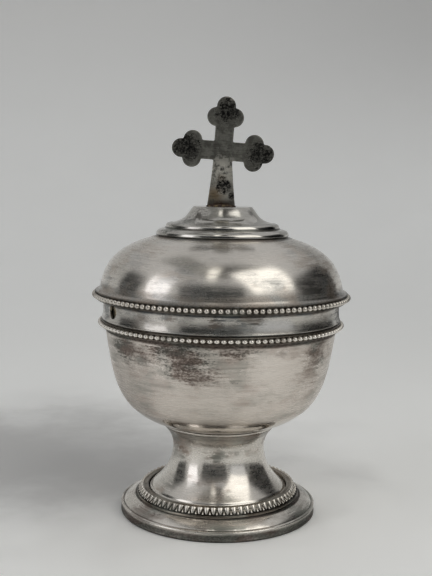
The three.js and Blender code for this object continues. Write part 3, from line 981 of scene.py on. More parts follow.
@dataclass(frozen=True)
class SolderResidue(Finish):
    """Hard silver solder, melted in a lumpy fillet, with burnt flux left on it.

    The flux shows as red-brown glass, and the dull yellow metal comes through between its lumps.
    """

    name: str
    flux: str = "#35221a"
    metal: str = "#8f8064"
    lump_size: float = 0.9  # mm
    lump_depth: float = 0.08  # mm

    def shade(self, tree: Tree) -> Socket:
        """Builds the residue's nodes.

        Args:
            tree: The material's node tree.

        Returns:
            The shader's output.
        """
        add = partial(add_node, tree)
        place = add("TexCoord", output="Object")
        grain = {"Vector": place, "Scale": per_mm(self.lump_size), "Detail": 5, "Roughness": 0.65}
        clouds = add("TexNoise", grain)
        bare = add("MapRange", (clouds, 0.48, 0.6), **SMOOTH)
        colour = add("Mix", (bare, linear(self.flux), linear(self.metal)), data_type="RGBA")
        lump = {
            "Base Color": colour,
            "Metallic": add("MapRange", (bare, 0, 1, 0.1, 0.9), **SMOOTH),
            "Roughness": add("MapRange", (clouds, 0.35, 0.65, 0.6, 0.35), **SMOOTH),
            "Normal": relief(tree, (clouds, 1, self.lump_depth)),
        }
        return add("BsdfPrincipled", lump)


@dataclass(frozen=True)
class BackgroundPaper(Finish):
    """A matt roll of pale grey paper, with painted shade up and to the right and a painted shadow at left."""

    name: str = "background_paper"
    tone: str = "#f0f1f0"
    # The high and right tones paint the shade up and to the right; the high tone also gives the mottle its
    # darker side
    high_tone: str = "#dcdcdb"
    right_tone: str = "#c6c6c5"
    # The shade tone and spot paint the shadow on the floor at the object's left
    painted_shadow_tone: str = "#c2c2c1"
    painted_shadow_spot: Smudge = Smudge((-60, 45, 0), 95, 1.0, wide=1.3)
    mottle: float = 40  # mm
    height_range: Place = (0.02, 0.42)  # m, over which painted shade darkens it upwards
    right_range: Place = (-0.2, 0.5)  # m, over which painted shade darkens it to the right
    lift: float = 0.36  # how much paler it looks than the light on it makes it

    def shade(self, tree: Tree) -> Socket:
        """Builds the paper's nodes.

        Args:
            tree: The material's node tree.

        Returns:
            The shader's output.
        """
        add = partial(add_node, tree)
        place = add("TexCoord", output="Object")
        grain = {"Vector": place, "Scale": per_mm(self.mottle), "Detail": 4, "Roughness": 0.6}
        clouds = add("TexNoise", grain)
        uneven = add("MapRange", (clouds, 0.3, 0.7, 0, 0.12), **SMOOTH)
        colour = add("Mix", (uneven, linear(self.tone), linear(self.high_tone)), data_type="RGBA")
        rise, side = (add("SeparateXYZ", (place,), output=axis) for axis in "ZX")
        # Painted shade: darker upwards and, higher up, to the right
        high = add("MapRange", (rise, *self.height_range), **SMOOTH)
        colour = add("Mix", (high, colour, linear(self.high_tone)), data_type="RGBA")
        right = add("Math", (high, add("MapRange", (side, *self.right_range), **SMOOTH)), **TIMES)
        colour = add("Mix", (right, colour, linear(self.right_tone)), data_type="RGBA")
        fray = add("MapRange", (clouds, 0.3, 0.7, 0.15, -0.15), **SMOOTH)
        # Painted shadow on the floor at the left of the object
        dim = spots(tree, place, (self.painted_shadow_spot,), fray)
        colour = add("Mix", (dim, colour, linear(self.painted_shadow_tone)), data_type="RGBA")
        rays = (add("LightPath", output=f"Is {kind} Ray") for kind in ("Camera", "Glossy"))
        gain = add("Math", (add("Math", tuple(rays), **LARGER), self.lift, 1.0), operation="MULTIPLY_ADD")
        return add("BsdfDiffuse", (add("VectorMath", (colour, gain), operation="SCALE"),))


@dataclass(frozen=True)
class SoftSheet(Finish):
    """A sheet of cloth or diffuser that is thinner towards its hem.

    Burnished metal mirrors the outline of whatever stands round it. Light falls off towards the
    frame of a diffuser and comes through the hem of a cloth, so neither has a hard edge there.
    """

    name: str
    tone: str
    radiance: float = 0.0  # light that a lit diffuser gives off
    hem: float = 0.4  # share of the half width over which it thins out

    def shade(self, tree: Tree) -> Socket:
        """Builds the sheet's nodes.

        Args:
            tree: The material's node tree.

        Returns:
            The shader's output.
        """
        add = partial(add_node, tree)
        spot = add("TexCoord", output="UV")
        spot = add("VectorMath", (spot, (0.5, 0.5, 0)), operation="SUBTRACT")
        spot = add("VectorMath", (spot,), operation="ABSOLUTE")
        inside = 0.5 * (1 - self.hem)
        sides = [add("SeparateXYZ", (spot,), output=axis) for axis in "XY"]
        cover = tuple(add("MapRange", (side, inside, 0.5, 1, 0), **SMOOTH) for side in sides)
        if self.radiance:
            sheet = add("Emission", (linear(self.tone), self.radiance))
        else:
            sheet = add("BsdfDiffuse", (linear(self.tone),))
        return add("MixShader", (add("Math", cover, **TIMES), add("BsdfTransparent"), sheet))


# The vessel


@dataclass
class Foot:
    """The spun foot: a rolled rim, a swelling border and a flat table, open underneath."""

    shell: Extent = Extent.of("foot_base")
    wire: Extent = Extent.of("foot_bead_wire")
    stem: Extent = Extent.of("stem")
    sheet: float = 0.7  # thickness of the silver
    lip: float = 2.2  # turned in under the rim
    band_foot: float = 0.75  # top of the rounded lower edge
    band_hollow: float = 0.22  # how deep the upright band is dished
    shoulder: float = 2.2  # bottom of the rounded shoulder
    shoulder_top: float = 2.85
    shoulder_width: float = 0.62
    border: float = 4.1  # from the table out to the rim
    seat: float = 1.85  # the table reaches this far inside the stem
    tongues: int = 74
    tongue_width: float = 1.62
    crest: float = 1.4  # from the inside of the wire to the heads of its tongues
    flare: float = 0.3  # how far the wire's foot spreads past the frame's
    sprung: float = 0.8  # how far the wire has sprung up at one side
    sprung_azimuth: float = 120.0  # degrees to the right of the front

    def build(self) -> None:
        """Builds the foot's shell and the stamped wire that lies on it."""
        self.build_shell()
        self.build_wire()

    def build_shell(self) -> None:
        """Turns the shell of the foot."""
        rim, top = self.shell.radius, self.shell.top
        table = rim - self.border
        hole = self.stem.radius - self.seat
        outline = (
            Outline(rim - self.lip, 0)
            .line((rim - 0.5, 0))
            .round((rim, 0), (rim, 0.4))
            .round((rim, self.band_foot - 0.1), (rim - 0.12, self.band_foot))
            .bend((rim - self.band_hollow, 1.1), (rim - self.band_hollow, 1.8), (rim - 0.12, self.shoulder))
            .round((rim, self.shoulder), (rim, self.shoulder + 0.25))
            .round((rim, self.shoulder_top), (rim - self.shoulder_width, self.shoulder_top))
            .line((rim - self.shoulder_width - 0.18, self.shoulder_top - 0.06))
            .bend((rim - 1.2, 3.35), (table + 1.2, top - 0.02), (table + 0.15, top - 0.05))
            .round((table, top), (table - 0.3, top))
            .line((hole, top), (hole, top - self.sheet), (table, top - self.sheet))
            .bend((table + 1.3, top - self.sheet), (rim - 1.6, 2.7), (rim - self.sheet - 0.5, 2.0))
            .round((rim - self.sheet - 0.2, 1.5), (rim - self.sheet - 0.3, 0.9))
            .round((rim - self.sheet - 0.3, self.sheet), (rim - self.sheet - 0.7, self.sheet))
            .line((rim - self.lip, self.sheet))
        )
        shell = outline.turn("foot_shell", fineness=9)
        finish = SilverPlate(
            "worn_silver_foot",
            film="#948880",
            gloss=0.13,
            dull=0.32,
            haze=0.12,
            film_start=0.44,
            # Dark rings of grime; at the rim they also paint the shade where it meets the floor and the
            # shaded floor that the band mirrors, and at the shoulder the shade in its crease
            seams=(
                Seam(table - 0.1, top, 0.5, 0.8),
                Seam(rim, 1.2, 1.3, 0.75),
                Seam(rim, 0.0, 1.0, 0.95),
                Seam(rim - self.shoulder_width - 0.15, self.shoulder_top, 0.22, 0.6),
            ),
            blushes=(
                Smudge((0, -25, 3.8), 2.4, 0.7, wide=5),
                Smudge((-20, -15, 3.5), 6, 0.8),
                Smudge((21, -13, 3.5), 6, 0.7),
            ),
        )
        present(shell, Body.VESSEL, ("foot_base",), [finish])

    def build_wire(self) -> None:
        """Turns the wire's body and sets its tongues and darts round it."""
        inner, outer = self.stem.radius + SOLDER_GAP, self.wire.radius + self.flare
        foot, top = self.wire.bottom - SOLDER_GAP, self.wire.top
        crest, slope_foot = inner + self.crest, foot + 0.95
        body = (
            Outline(inner - 0.2, foot)
            .line((outer, foot))
            .round((outer, foot + 0.5), (outer - 0.2, foot + 0.52))
            .round((outer - 0.4, foot + 0.52), (outer - 0.45, foot + 0.25))
            .line((outer - 0.7, slope_foot), (crest + 0.1, top - 0.55))
            .round((crest, top - 0.25), (crest - 0.2, top - 0.3))
            .bend((crest - 0.5, top - 0.6), (inner + 0.4, top - 0.55), (inner, top - 0.2))
            .round((inner - 0.2, top - 0.1), (inner - 0.2, top - 0.4))
        ).turn("foot_border_wire", fineness=5)
        run, drop = outer - 0.5 - crest, top - 0.15 - slope_foot
        fall, length = math.atan2(drop, run), math.hypot(drop, run)
        tongue = tapered_wedge("tongue", length, self.tongue_width, 1.0)
        settle(tongue, turn=(0, fall, 0), move=(crest + run / 2 - 0.1, 0, slope_foot + drop / 2 - 0.12))
        ring_of(tongue, self.tongues)
        dart = tapered_wedge("dart", 0.9, 0.55, 0.5)
        settle(dart, turn=(0, 0, math.pi))
        settle(dart, turn=(0, fall, 0), move=(outer - 0.8, 0, slope_foot + 0.1))
        settle(dart, turn=(0, 0, math.pi / self.tongues))
        ring_of(dart, self.tongues)
        body_faces = len(body.data.polygons)
        wire = join("foot_border_wire", [body, tongue, dart])
        bpy.ops.object.shade_smooth_by_angle(angle=math.radians(50))
        tilt, high = self.sprung / (2 * outer), math.radians(self.sprung_azimuth)
        lean = (-math.cos(high) * tilt, -math.sin(high) * tilt, 0)
        settle(wire, turn=lean, move=(0, 0, self.sprung / 2))
        strip = GrimyShadedWire(
            "grimy_shaded_foot_wire",
            bright="#978e82",
            film="#564e45",
            gloss=0.2,
            film_start=0.36,
            # Grime rings, darker to paint the shade under the tongues, between their tips and along the
            # wire's edges
            seams=(
                Seam(outer - 0.5, foot + 0.4, 0.3),
                Seam(outer - 0.8, slope_foot, 1.0),
                Seam(crest + 0.1, top - 0.6, 0.5, 0.9),
                Seam(inner, top - 0.4, 0.4, 0.6),
            ),
        )
        raised = RubbedBeads("rubbed_foot_tongues", bright="#efe9df", gloss=0.2)
        present(wire, Body.VESSEL, ("foot_bead_wire",), [strip, raised])
        finish_from(wire, body_faces)


@dataclass
class Stem:
    """The trumpet stem, drawn in to a waist and out again to the mouth that holds the bowl."""

    shell: Extent = Extent.of("stem")
    sheet: float = 0.85
    foot_band: float = 2.05
    lip_radius: float = 18.3
    waist_radius: float = 12.6
    waist_height: float = 18.0
    mouth_radius: float = 15.8

    def build(self) -> None:
        """Turns the stem."""
        foot, top = self.shell.bottom - SOLDER_GAP, self.shell.top + 0.05
        lip, waist, mouth = self.lip_radius, self.waist_radius, self.mouth_radius
        band = foot + self.foot_band
        sheet = self.sheet
        outline = (
            Outline(self.shell.radius - sheet, foot)
            .line((self.shell.radius - 0.1, foot))
            .line((self.shell.radius - 0.1, band - 0.4))
            .round((self.shell.radius - 0.1, band), (self.shell.radius - 0.45, band + 0.1))
            .round((lip + 0.1, band + 0.15), (lip, band + 0.5))
            .bend((lip - 2.75, band + 2.9), (waist, self.waist_height - 5.2), (waist, self.waist_height))
            .bend((waist, self.waist_height + 3.82), (mouth - 0.9, top - 1.25), (mouth - 0.42, top - 0.5))
            .round((mouth + 0.02, top - 0.1), (mouth - 0.05, top + 0.12))
            .round((mouth - 0.2, top + 0.3), (mouth - 0.5, top + 0.1))
            .line((mouth - 0.5 - sheet, top - 0.7))
            .bend((waist + 1.6, top - 2.6), (waist - sheet, 20.5), (waist - sheet, self.waist_height))
            .bend((waist - sheet, 12.6), (lip - 3.5, band + 2.3), (lip - sheet - 0.2, band - 0.1))
        )
        stem = outline.turn("stem_trumpet", fineness=20)
        finish = SilverPlate(
            "burnished_silver_stem",
            gloss=0.12,
            dull=0.28,
            haze=0.2,
            brushed=0.85,
            film="#a08878",
            film_start=0.52,
            film_end=0.72,
            film_share=0.5,
            # Grime at the stem's foot and lip, and under the mouth, beneath the bowl, painted shade with
            # grime
            seams=(
                Seam(self.shell.radius, foot, 1.4, 0.9),
                Seam(mouth - 0.5, top - 0.6, 0.3, 0.9),
                Seam(mouth - 1.2, top - 1.6, 1.6, 0.35),
            ),
            smudges=(Smudge((-12, -5, 21.5), 4, 0.45), Smudge((12.5, -4, 22), 2.6, 0.5)),
            blushes=(
                Smudge((-9, -9, 20), 4, 0.7),
                Smudge((3, -12.5, 22), 2.0, 0.5, wide=3),
                Smudge((0, -13, 18), 3, 0.7, wide=1.2),
                Smudge((-15, -10, 9), 5, 0.6),
            ),
        )
        present(stem, Body.VESSEL, ("stem",), [finish])


@dataclass
class BeadedWire:
    """A half-round wire stamped into beads, with a plain fillet above and below them."""

    name: str
    node: str
    body: Body
    slot: Slot
    count: int
    inner: float  # radius of the strip's back
    back: float  # height of the strip
    bead_height: float
    above: float  # strip that shows above the beads
    ledge: float  # how far the strip stands out above and below the beads
    strip: GrimyShadedWire
    beads: RubbedBeads
    snug: float = 0.88  # length of a bead, against its pitch
    pitch_inset: float = 0.6  # from the edge in to where the pitch is measured
    depth: float = 1.1  # depth of a bead, against its length
    proud: float = 0.7  # share of its depth that stands out of the strip

    def build(self) -> None:
        """Turns the strip and sets the beads round it."""
        extent = Extent.of(self.node)
        edge, top = extent.radius, extent.top
        pitch = math.tau * (edge - self.pitch_inset) / self.count
        along = pitch * self.snug
        deep = along * self.depth
        middle = edge - deep / 2
        height = top - self.above - self.bead_height / 2
        low, foot = height - self.bead_height / 2, top - self.back
        shelf = edge - deep * self.proud
        lip = shelf + self.ledge
        strip = (
            Outline(self.inner, foot)
            .line((shelf - 0.5, foot))
            .round((lip, foot), (lip, (foot + low) / 2 - 0.05))
            .round((lip, low), (shelf - 0.1, low + 0.1))
            .line((shelf - 0.3, height), (shelf - 0.1, top - self.above - 0.1))
            .round((lip, top - self.above), (lip, top - self.above / 2))
            .round((lip, top), (shelf - 0.1, top))
            .line((self.inner, top))
        ).turn(self.name, fineness=4)
        bead = add_new(
            bpy.ops.mesh.primitive_uv_sphere_add, segments=10, ring_count=7, radius=0.5,
            scale=(deep * MM, along * MM, self.bead_height * MM),
        )
        settle(bead, move=(middle, 0, height))
        ring_of(bead, self.count)
        strip_faces = len(strip.data.polygons)
        wire = join(self.name, [strip, bead])
        bpy.ops.object.shade_smooth_by_angle(angle=math.radians(60))
        present(wire, self.body, (self.node,), [self.strip, self.beads])
        finish_from(wire, strip_faces)


@dataclass
class Bowl:
    """The bowl with its proud rim band, the beaded wire on it and the gilt neck inside."""

    shell: Extent = Extent.of("bowl")
    neck: Extent = Extent.of("bowl_neck")
    sheet: float = 0.9
    side: float = 31.3
    depth: float = 27.6
    neck_wall: float = 0.8
    neck_fit: float = 0.25  # between the neck's skirt and the bowl
    beads: int = 122

    def build(self) -> None:
        """Builds the bowl, its beaded wire and its neck."""
        self.build_shell()
        self.build_beading()
        self.build_neck()

    def build_shell(self) -> None:
        """Turns the bowl, silver outside and gilt inside."""
        foot, top = self.shell.bottom, self.shell.top
        side, sheet = self.side, self.sheet
        rim = foot + self.depth
        outline = (
            Outline(0, foot)
            .bend((side - 3.35, foot), (side - 2.64, rim - 17.27), (side, rim))
            .round((side + 0.3, rim + 0.3), (side + 0.5, rim + 0.5))
            .line((side + 0.5, top), (side - sheet, top), (side - sheet, rim))
            .bend((side - sheet - 2.5, rim - 16.7), (side - 4.6, foot + sheet), (0, foot + sheet))
        )
        bowl = outline.turn("bowl_shell", fineness=40)
        finish = SilverPlate(
            "dull_silver_bowl",
            bright="#e5ddd4",
            film="#b0a197",
            cool_film="#a09f97",
            gloss=0.24,
            dull=0.4,
            haze=0.4,
            brushed=0.6,
            line_depth=0.003,
            film_start=0.42,
            film_end=0.68,
            film_share=0.55,
            # The ring under the beaded wire is grime with its painted shadow; the one at the stem's mouth is
            # a grimy joint
            seams=(Seam(side + 0.3, rim + 0.4, 1.3, 1.0), Seam(15.7, foot + 2.1, 0.35, 0.9)),
            wiped=(Seam(22, foot + 4.8, 4.6, 0.9),),
            smudges=(
                Smudge((-24, -19.5, 48), 6, 0.4, wide=1.8),
                Smudge((-11, -29, 49), 4.8, 0.65, wide=2.2),
                Smudge((-9, -29.6, 46.2), 4.6, 0.62, wide=1.6),
                Smudge((-5, -30, 43.2), 3.4, 0.42, wide=1.8),
                Smudge((-20, -23.5, 46), 2.6, 0.4, wide=3.5),
                Smudge((6, -31, 49.6), 1.8, 0.6, wide=4),
                Smudge((15, -27, 48.6), 1.2, 0.3, wide=6),
                Smudge((25, -18, 47), 5, 0.4, wide=1.5),
            ),
            blushes=(
                Smudge((-10, -29, 47), 8, 0.7, wide=1.6),
                Smudge((-25, -18, 48), 5, 0.9, wide=1.4),
                Smudge((-21, -22, 38), 7, 0.5, wide=1.6),
                Smudge((23, -19, 44), 7, 0.7),
                Smudge((2, -30.5, 46), 5, 0.6, wide=2),
                Smudge((-28, -12, 44), 8, 0.5),
            ),
        )
        present(bowl, Body.VESSEL, ("bowl",), [finish, WashGilding("gilt_bowl_inside")])
        gild_inside(bowl, top)

    def build_beading(self) -> None:
        """Builds the beaded wire round the rim."""
        BeadedWire(
            "bowl_rim_beading", "bowl_bead_wire", Body.VESSEL, Slot.WORN, self.beads,
            inner=self.side + 0.5, back=1.95, bead_height=1.15, above=0.35, ledge=0.2,
            # The strip's dark tones paint the shade between and round the beads, with grime
            strip=GrimyShadedWire("grimy_shaded_bowl_wire", bright="#6f675f", film="#3c3530"),
            beads=RubbedBeads("rubbed_bowl_beads", bright="#f0ebe3"),
        ).build()

    def build_neck(self) -> None:
        """Turns the neck, soldered inside the rim, with a rounded top edge."""
        low, high, radius = self.neck.bottom, self.neck.top, self.neck.radius
        step = self.shell.top
        skirt, wall = self.side - self.sheet - self.neck_fit, self.neck_wall
        outline = (
            Outline(skirt - wall, low)
            .line((skirt, low), (skirt, step + 0.02), (radius - 0.1, step + 0.02))
            .round((radius, step + 0.02), (radius, step + 0.2))
            .line((radius, high - 0.9))
            .bend((radius, high - 0.5), (radius + 0.02, high - 0.1), (radius - 0.25, high))
            .round((radius - wall, high), (radius - wall, high - 0.5))
            .line((radius - wall, step + 1))
            .round((radius - wall, step + 0.6), (skirt - wall, step - 0.4))
        )
        neck = outline.turn("neck_ring", fineness=8)
        finish = WashGilding("worn_gilt_neck", gold="#b5a37a", silver="#a5a097", wear_size=3, wear_start=0.3)
        present(neck, Body.VESSEL, ("bowl_neck",), [finish])


@dataclass
class Clamp:
    """The stud under the bowl, and the plate, washer and nut that draw the bowl on the stem."""

    stud: Extent = Extent.of("bowl_stud")
    plate: Extent = Extent.of("bearing_plate")
    washer: Extent = Extent.of("stud_washer")
    nut: Extent = Extent.of("stud_nut")
    shank: float = 2.0
    boss_height: float = 1.9
    bore: float = 2.3
    thread_pitch: float = 0.7
    thread_depth: float = 0.3
    thread_foot: float = 0.84  # width of a ridge's foot, against the pitch
    plate_edge: float = 0.2  # how much its edges are broken
    washer_edge: float = 0.15
    nut_width: float = 7.0
    nut_fit: float = 0.25  # its bore is this much closer than the plate's

    def build(self) -> None:
        """Builds the four brass fittings."""
        finish = DullBrass("dull_turned_brass")
        for piece, node in (
            (self.build_stud(), "bowl_stud"),
            (self.build_disc("clamp_plate", self.plate, self.plate_edge), "bearing_plate"),
            (self.build_disc("clamp_washer", self.washer, self.washer_edge), "stud_washer"),
            (self.build_nut(), "stud_nut"),
        ):
            present(piece, Body.VESSEL, (node,), [finish])

    def build_stud(self) -> Piece:
        """Turns the stud with its boss, and winds a thread on its lower end.

        Returns:
            The stud.
        """
        low, high = self.stud.bottom, self.stud.top
        boss = high - self.boss_height
        core = self.shank - self.thread_depth
        thread_top = self.washer.top + 1
        outline = (
            Outline(0, low)
            .line((core - 0.4, low), (core, low + 0.4), (core, thread_top), (self.shank, thread_top + 0.3))
            .line((self.shank, boss - 0.4))
            .round((self.shank, boss), (self.shank + 0.4, boss))
            .line((self.stud.radius - 0.3, boss), (self.stud.radius, boss + 0.3))
            .line((self.stud.radius, high), (0, high))
        )
        body = outline.turn("clamp_stud", fineness=2, steps=SMALL_TURN_STEPS)
        thread = self.build_thread(low + 0.4, thread_top - 0.2, core)
        return join("clamp_stud", [body, thread])

    def build_thread(self, low: float, high: float, core: float) -> Piece:
        """Winds one ridge round the shank.

        Args:
            low: Where the thread starts, in mm.
            high: Where it ends, in mm.
            core: Radius of the shank under it, in mm.

        Returns:
            The closed ridge.
        """
        turns = int((high - low) / self.thread_pitch)
        half = self.thread_pitch * self.thread_foot / 2
        ridge = add_new(bpy.ops.mesh.primitive_circle_add, vertices=3, radius=1, fill_type="NOTHING")
        corners = ((core - 0.1, low), (self.shank, low + half), (core - 0.1, low + 2 * half))
        for vertex, (r, z) in zip(ridge.data.vertices, corners):
            vertex.co = Vector((r, 0, z)) * MM
        screw = ridge.modifiers.new("wind", "SCREW")
        screw.angle = math.tau
        screw.iterations = turns
        screw.screw_offset = self.thread_pitch * MM
        screw.steps = screw.render_steps = 40
        screw.use_merge_vertices = True
        screw.merge_threshold = MERGE_DISTANCE * MM
        apply_all(ridge)
        bpy.ops.object.mode_set(mode="EDIT")
        bpy.ops.mesh.select_mode(type="VERT")
        bpy.ops.mesh.select_all(action="DESELECT")
        bpy.ops.mesh.select_non_manifold()
        bpy.ops.mesh.fill()
        bpy.ops.object.mode_set(mode="OBJECT")
        close_up(ridge, 40)
        return ridge

    def build_disc(self, name: str, extent: Extent, edge: float) -> Piece:
        """Turns a bored disc with softened edges.

        Args:
            name: Name of the disc.
            extent: Where it lies.
            edge: How much its edges are broken, in mm.

        Returns:
            The disc.
        """
        low, high, radius = extent.bottom, extent.top, extent.radius
        outline = (
            Outline(self.bore + edge, low)
            .line((radius - edge, low))
            .round((radius, low), (radius, low + edge))
            .line((radius, high - edge))
            .round((radius, high), (radius - edge, high))
            .line((self.bore + edge, high), (self.bore, high - edge), (self.bore, low + edge))
        )
        return outline.turn(name, fineness=4, steps=SMALL_TURN_STEPS)

    def build_nut(self) -> Piece:
        """Shapes a six-sided nut with chamfered corners and a bored middle.

        Returns:
            The nut.
        """
        low, high = self.nut.bottom, self.nut.top
        middle, height = (low + high) / 2, high - low
        corner = self.nut_width / 2 / math.cos(math.pi / 6)
        nut = add_new(
            bpy.ops.mesh.primitive_cylinder_add, vertices=6, radius=corner * MM, depth=height * MM,
            location=(0, 0, middle * MM), rotation=(0, 0, math.pi / 6),
        )
        nut.name = "clamp_nut"
        settle_scaled(nut)
        flat, bore = self.nut_width / 2, self.bore - self.nut_fit
        chamfer = (
            Outline(bore + 0.35, low - 0.001)
            .line((flat - 0.05, low - 0.001), (corner + 0.1, low + 0.45), (corner + 0.1, high - 0.45))
            .line((flat - 0.05, high + 0.001), (bore + 0.35, high + 0.001))
            .line((bore, high - 0.35), (bore, low + 0.35))
        ).turn("nut_chamfer", fineness=1, steps=SMALL_TURN_STEPS)
        carve(nut, chamfer, "INTERSECT")
        close_up(nut, 20)
        return nut


# The lid


@dataclass
class Lid:
    """The lid: a band that slides over the neck, a beaded wire and a domed shell."""

    band: Extent = Extent.of("lid_collar")
    dome: Extent = Extent.of("lid_dome")
    mount: Extent = Extent.of("lid_pedestal")
    sheet: float = 0.85
    band_wall: float = 0.8
    band_hollow: float = 0.36
    hole_radius: float = 1.95
    hole_height: float = 3.15  # above the open edge
    hole_angle: float = 60.0  # degrees to the left of the front
    drill_length: float = 4.0
    dome_side: float = 32.75
    crown_hole: float = 8.0
    beads: int = 128

    def build(self) -> None:
        """Builds the band, the beaded wire and the dome."""
        self.build_band()
        self.build_beading()
        self.build_dome()

    def build_band(self) -> None:
        """Turns the band and drills the hole in it."""
        low, high, radius = self.band.bottom, self.band.top, self.band.radius
        hollow = radius - self.band_hollow
        inside = radius - self.band_wall
        outline = (
            Outline(inside, low + 0.15)
            .round((inside, low - 0.02), (inside + 0.25, low - 0.02))
            .line((radius - 0.22, low - 0.02))
            .round((radius + 0.02, low - 0.02), (radius + 0.02, low + 0.2))
            .round((radius + 0.02, low + 0.4), (radius - 0.1, low + 0.45))
            .bend((radius - 0.2, low + 0.8), (hollow, low + 1.6), (hollow, low + 2.8))
            .bend((hollow, low + 4.2), (radius - 0.12, high - 2.2), (radius, high - 1.9))
            .line((radius, high + 0.15), (inside, high + 0.15))
        )
        band = outline.turn("lid_band", fineness=14)
        drill = add_new(
            bpy.ops.mesh.primitive_cylinder_add, vertices=48, radius=self.hole_radius * MM,
            depth=self.drill_length * MM,
        )
        settle(drill, turn=(math.pi / 2, 0, 0), move=(0, -radius, 0))
        settle(drill, turn=(0, 0, -math.radians(self.hole_angle)), move=(0, 0, low + self.hole_height))
        carve(band, drill)
        close_up(band, 40)
        finish = SilverPlate(
            "burnished_silver_band",
            bright="#ccc8c1",
            film="#776c62",
            cool_film="#6c7376",
            dull=0.3,
            film_start=0.4,
            line_depth=0.008,
            smudges=(Smudge((31, -8, 57), 7, 0.7), Smudge((-30, -11, 57.5), 4, 0.45, wide=1.6)),
            # The ring at the top paints the shade under the beaded wire along with grime; the one at the open
            # edge is grime
            seams=(Seam(radius, high - 1.9, 1.3, 0.85), Seam(radius, low, 0.2, 0.5)),
            blushes=(
                Smudge((-1, -32, 55.8), 3.4, 0.9),
                Smudge((8, -31, 57.2), 1.6, 0.9, wide=6),
                Smudge((-12, -29, 57.4), 1.4, 0.8, wide=6),
            ),
        )
        present(band, Body.LID, ("lid_collar",), [finish])

    def build_beading(self) -> None:
        """Builds the beaded wire under the flange."""
        BeadedWire(
            "lid_rim_beading", "lid_bead_wire", Body.LID, Slot.POLISHED, self.beads,
            inner=self.band.radius, back=2.05, bead_height=1.3, above=0.2, ledge=0.0,
            # The strip's dark tones paint the shade between and round the beads, with grime
            strip=GrimyShadedWire("grimy_shaded_lid_wire", bright="#57524c", film="#322e2a"),
            beads=RubbedBeads(
                "rubbed_lid_beads", bright="#d9d3ca", film="#6e645b", gloss=0.17, film_start=0.42, haze=0.1,
            ),
        ).build()

    def build_dome(self) -> None:
        """Turns the domed shell, silver outside and gilt inside."""
        low, crown = self.dome.bottom - SOLDER_GAP, self.dome.top
        edge, side, sheet, hole = self.dome.radius, self.dome_side, self.sheet, self.crown_hole
        seat_r, seat_z = self.mount.radius, self.mount.bottom - 0.6
        spring = low + 1.45
        outline = (
            Outline(side - sheet - 0.25, low)
            .line((edge - 0.4, low))
            .round((edge - 0.2, low), (edge - 0.2, low + 0.14))
            .round((edge - 0.2, low + 0.3), (edge - 0.5, low + 0.34))
            .bend((side + 0.6, low + 0.42), (side + 0.06, low + 0.75), (side, spring))
            .bend((side - 1.21, spring + 8.26), (seat_r + 7.81, seat_z - 2.19), (seat_r, seat_z))
            .bend((seat_r - 3.5, seat_z + 0.98), (hole + 3.5, crown), (hole, crown))
            .line((hole, crown - sheet))
            .bend((hole + 3.3, crown - sheet), (14, seat_z - 0.1), (seat_r - 0.3, seat_z - sheet))
            .bend((seat_r + 7.2, seat_z - 3.1), (side - 2.2, spring + 7.9), (side - sheet - 0.05, spring))
        )
        dome = outline.turn("lid_shell", fineness=30)
        finish = SilverPlate(
            "burnished_silver_dome",
            gloss=0.16,
            dull=0.32,
            film="#b5a596",
            cool_film="#9b9d9c",
            film_start=0.5,
            film_end=0.74,
            film_share=0.5,
            soot_share=0.15,
            # Grime rings that also paint the shade under the flange's edge, in the fillet above it and round
            # the mount's foot
            seams=(
                Seam(edge - 0.2, low + 0.15, 0.55, 0.8),
                Seam(side + 0.1, spring - 0.4, 2.4, 0.4),
                Seam(seat_r + 0.2, seat_z + 0.2, 1.3, 0.45),
            ),
            smudges=(
                # The first two paint the shade just under the mount and the next two the dark reflections low
                # on the right
                Smudge((-1, -22.4, 74.4), 1.5, 0.5, wide=6),
                Smudge((2, -20.6, 75.2), 1.0, 0.4, wide=6),
                Smudge((28, -17, 64), 5.5, 0.85, wide=1.4),
                Smudge((14, -31.5, 62.4), 1.3, 0.45, wide=7),
                Smudge((-24, -22, 64), 2.4, 0.4, wide=2),
            ),
            blushes=(
                Smudge((-21, -16, 71), 11, 0.4),
                Smudge((20, -15, 72.5), 10, 0.45),
                Smudge((-29, -13, 65.5), 6, 0.6),
                Smudge((28, -10, 69.5), 6, 0.5),
            ),
        )
        present(dome, Body.LID, ("lid_dome",), [finish, WashGilding("gilt_lid_inside")])
        gild_inside(dome, low)


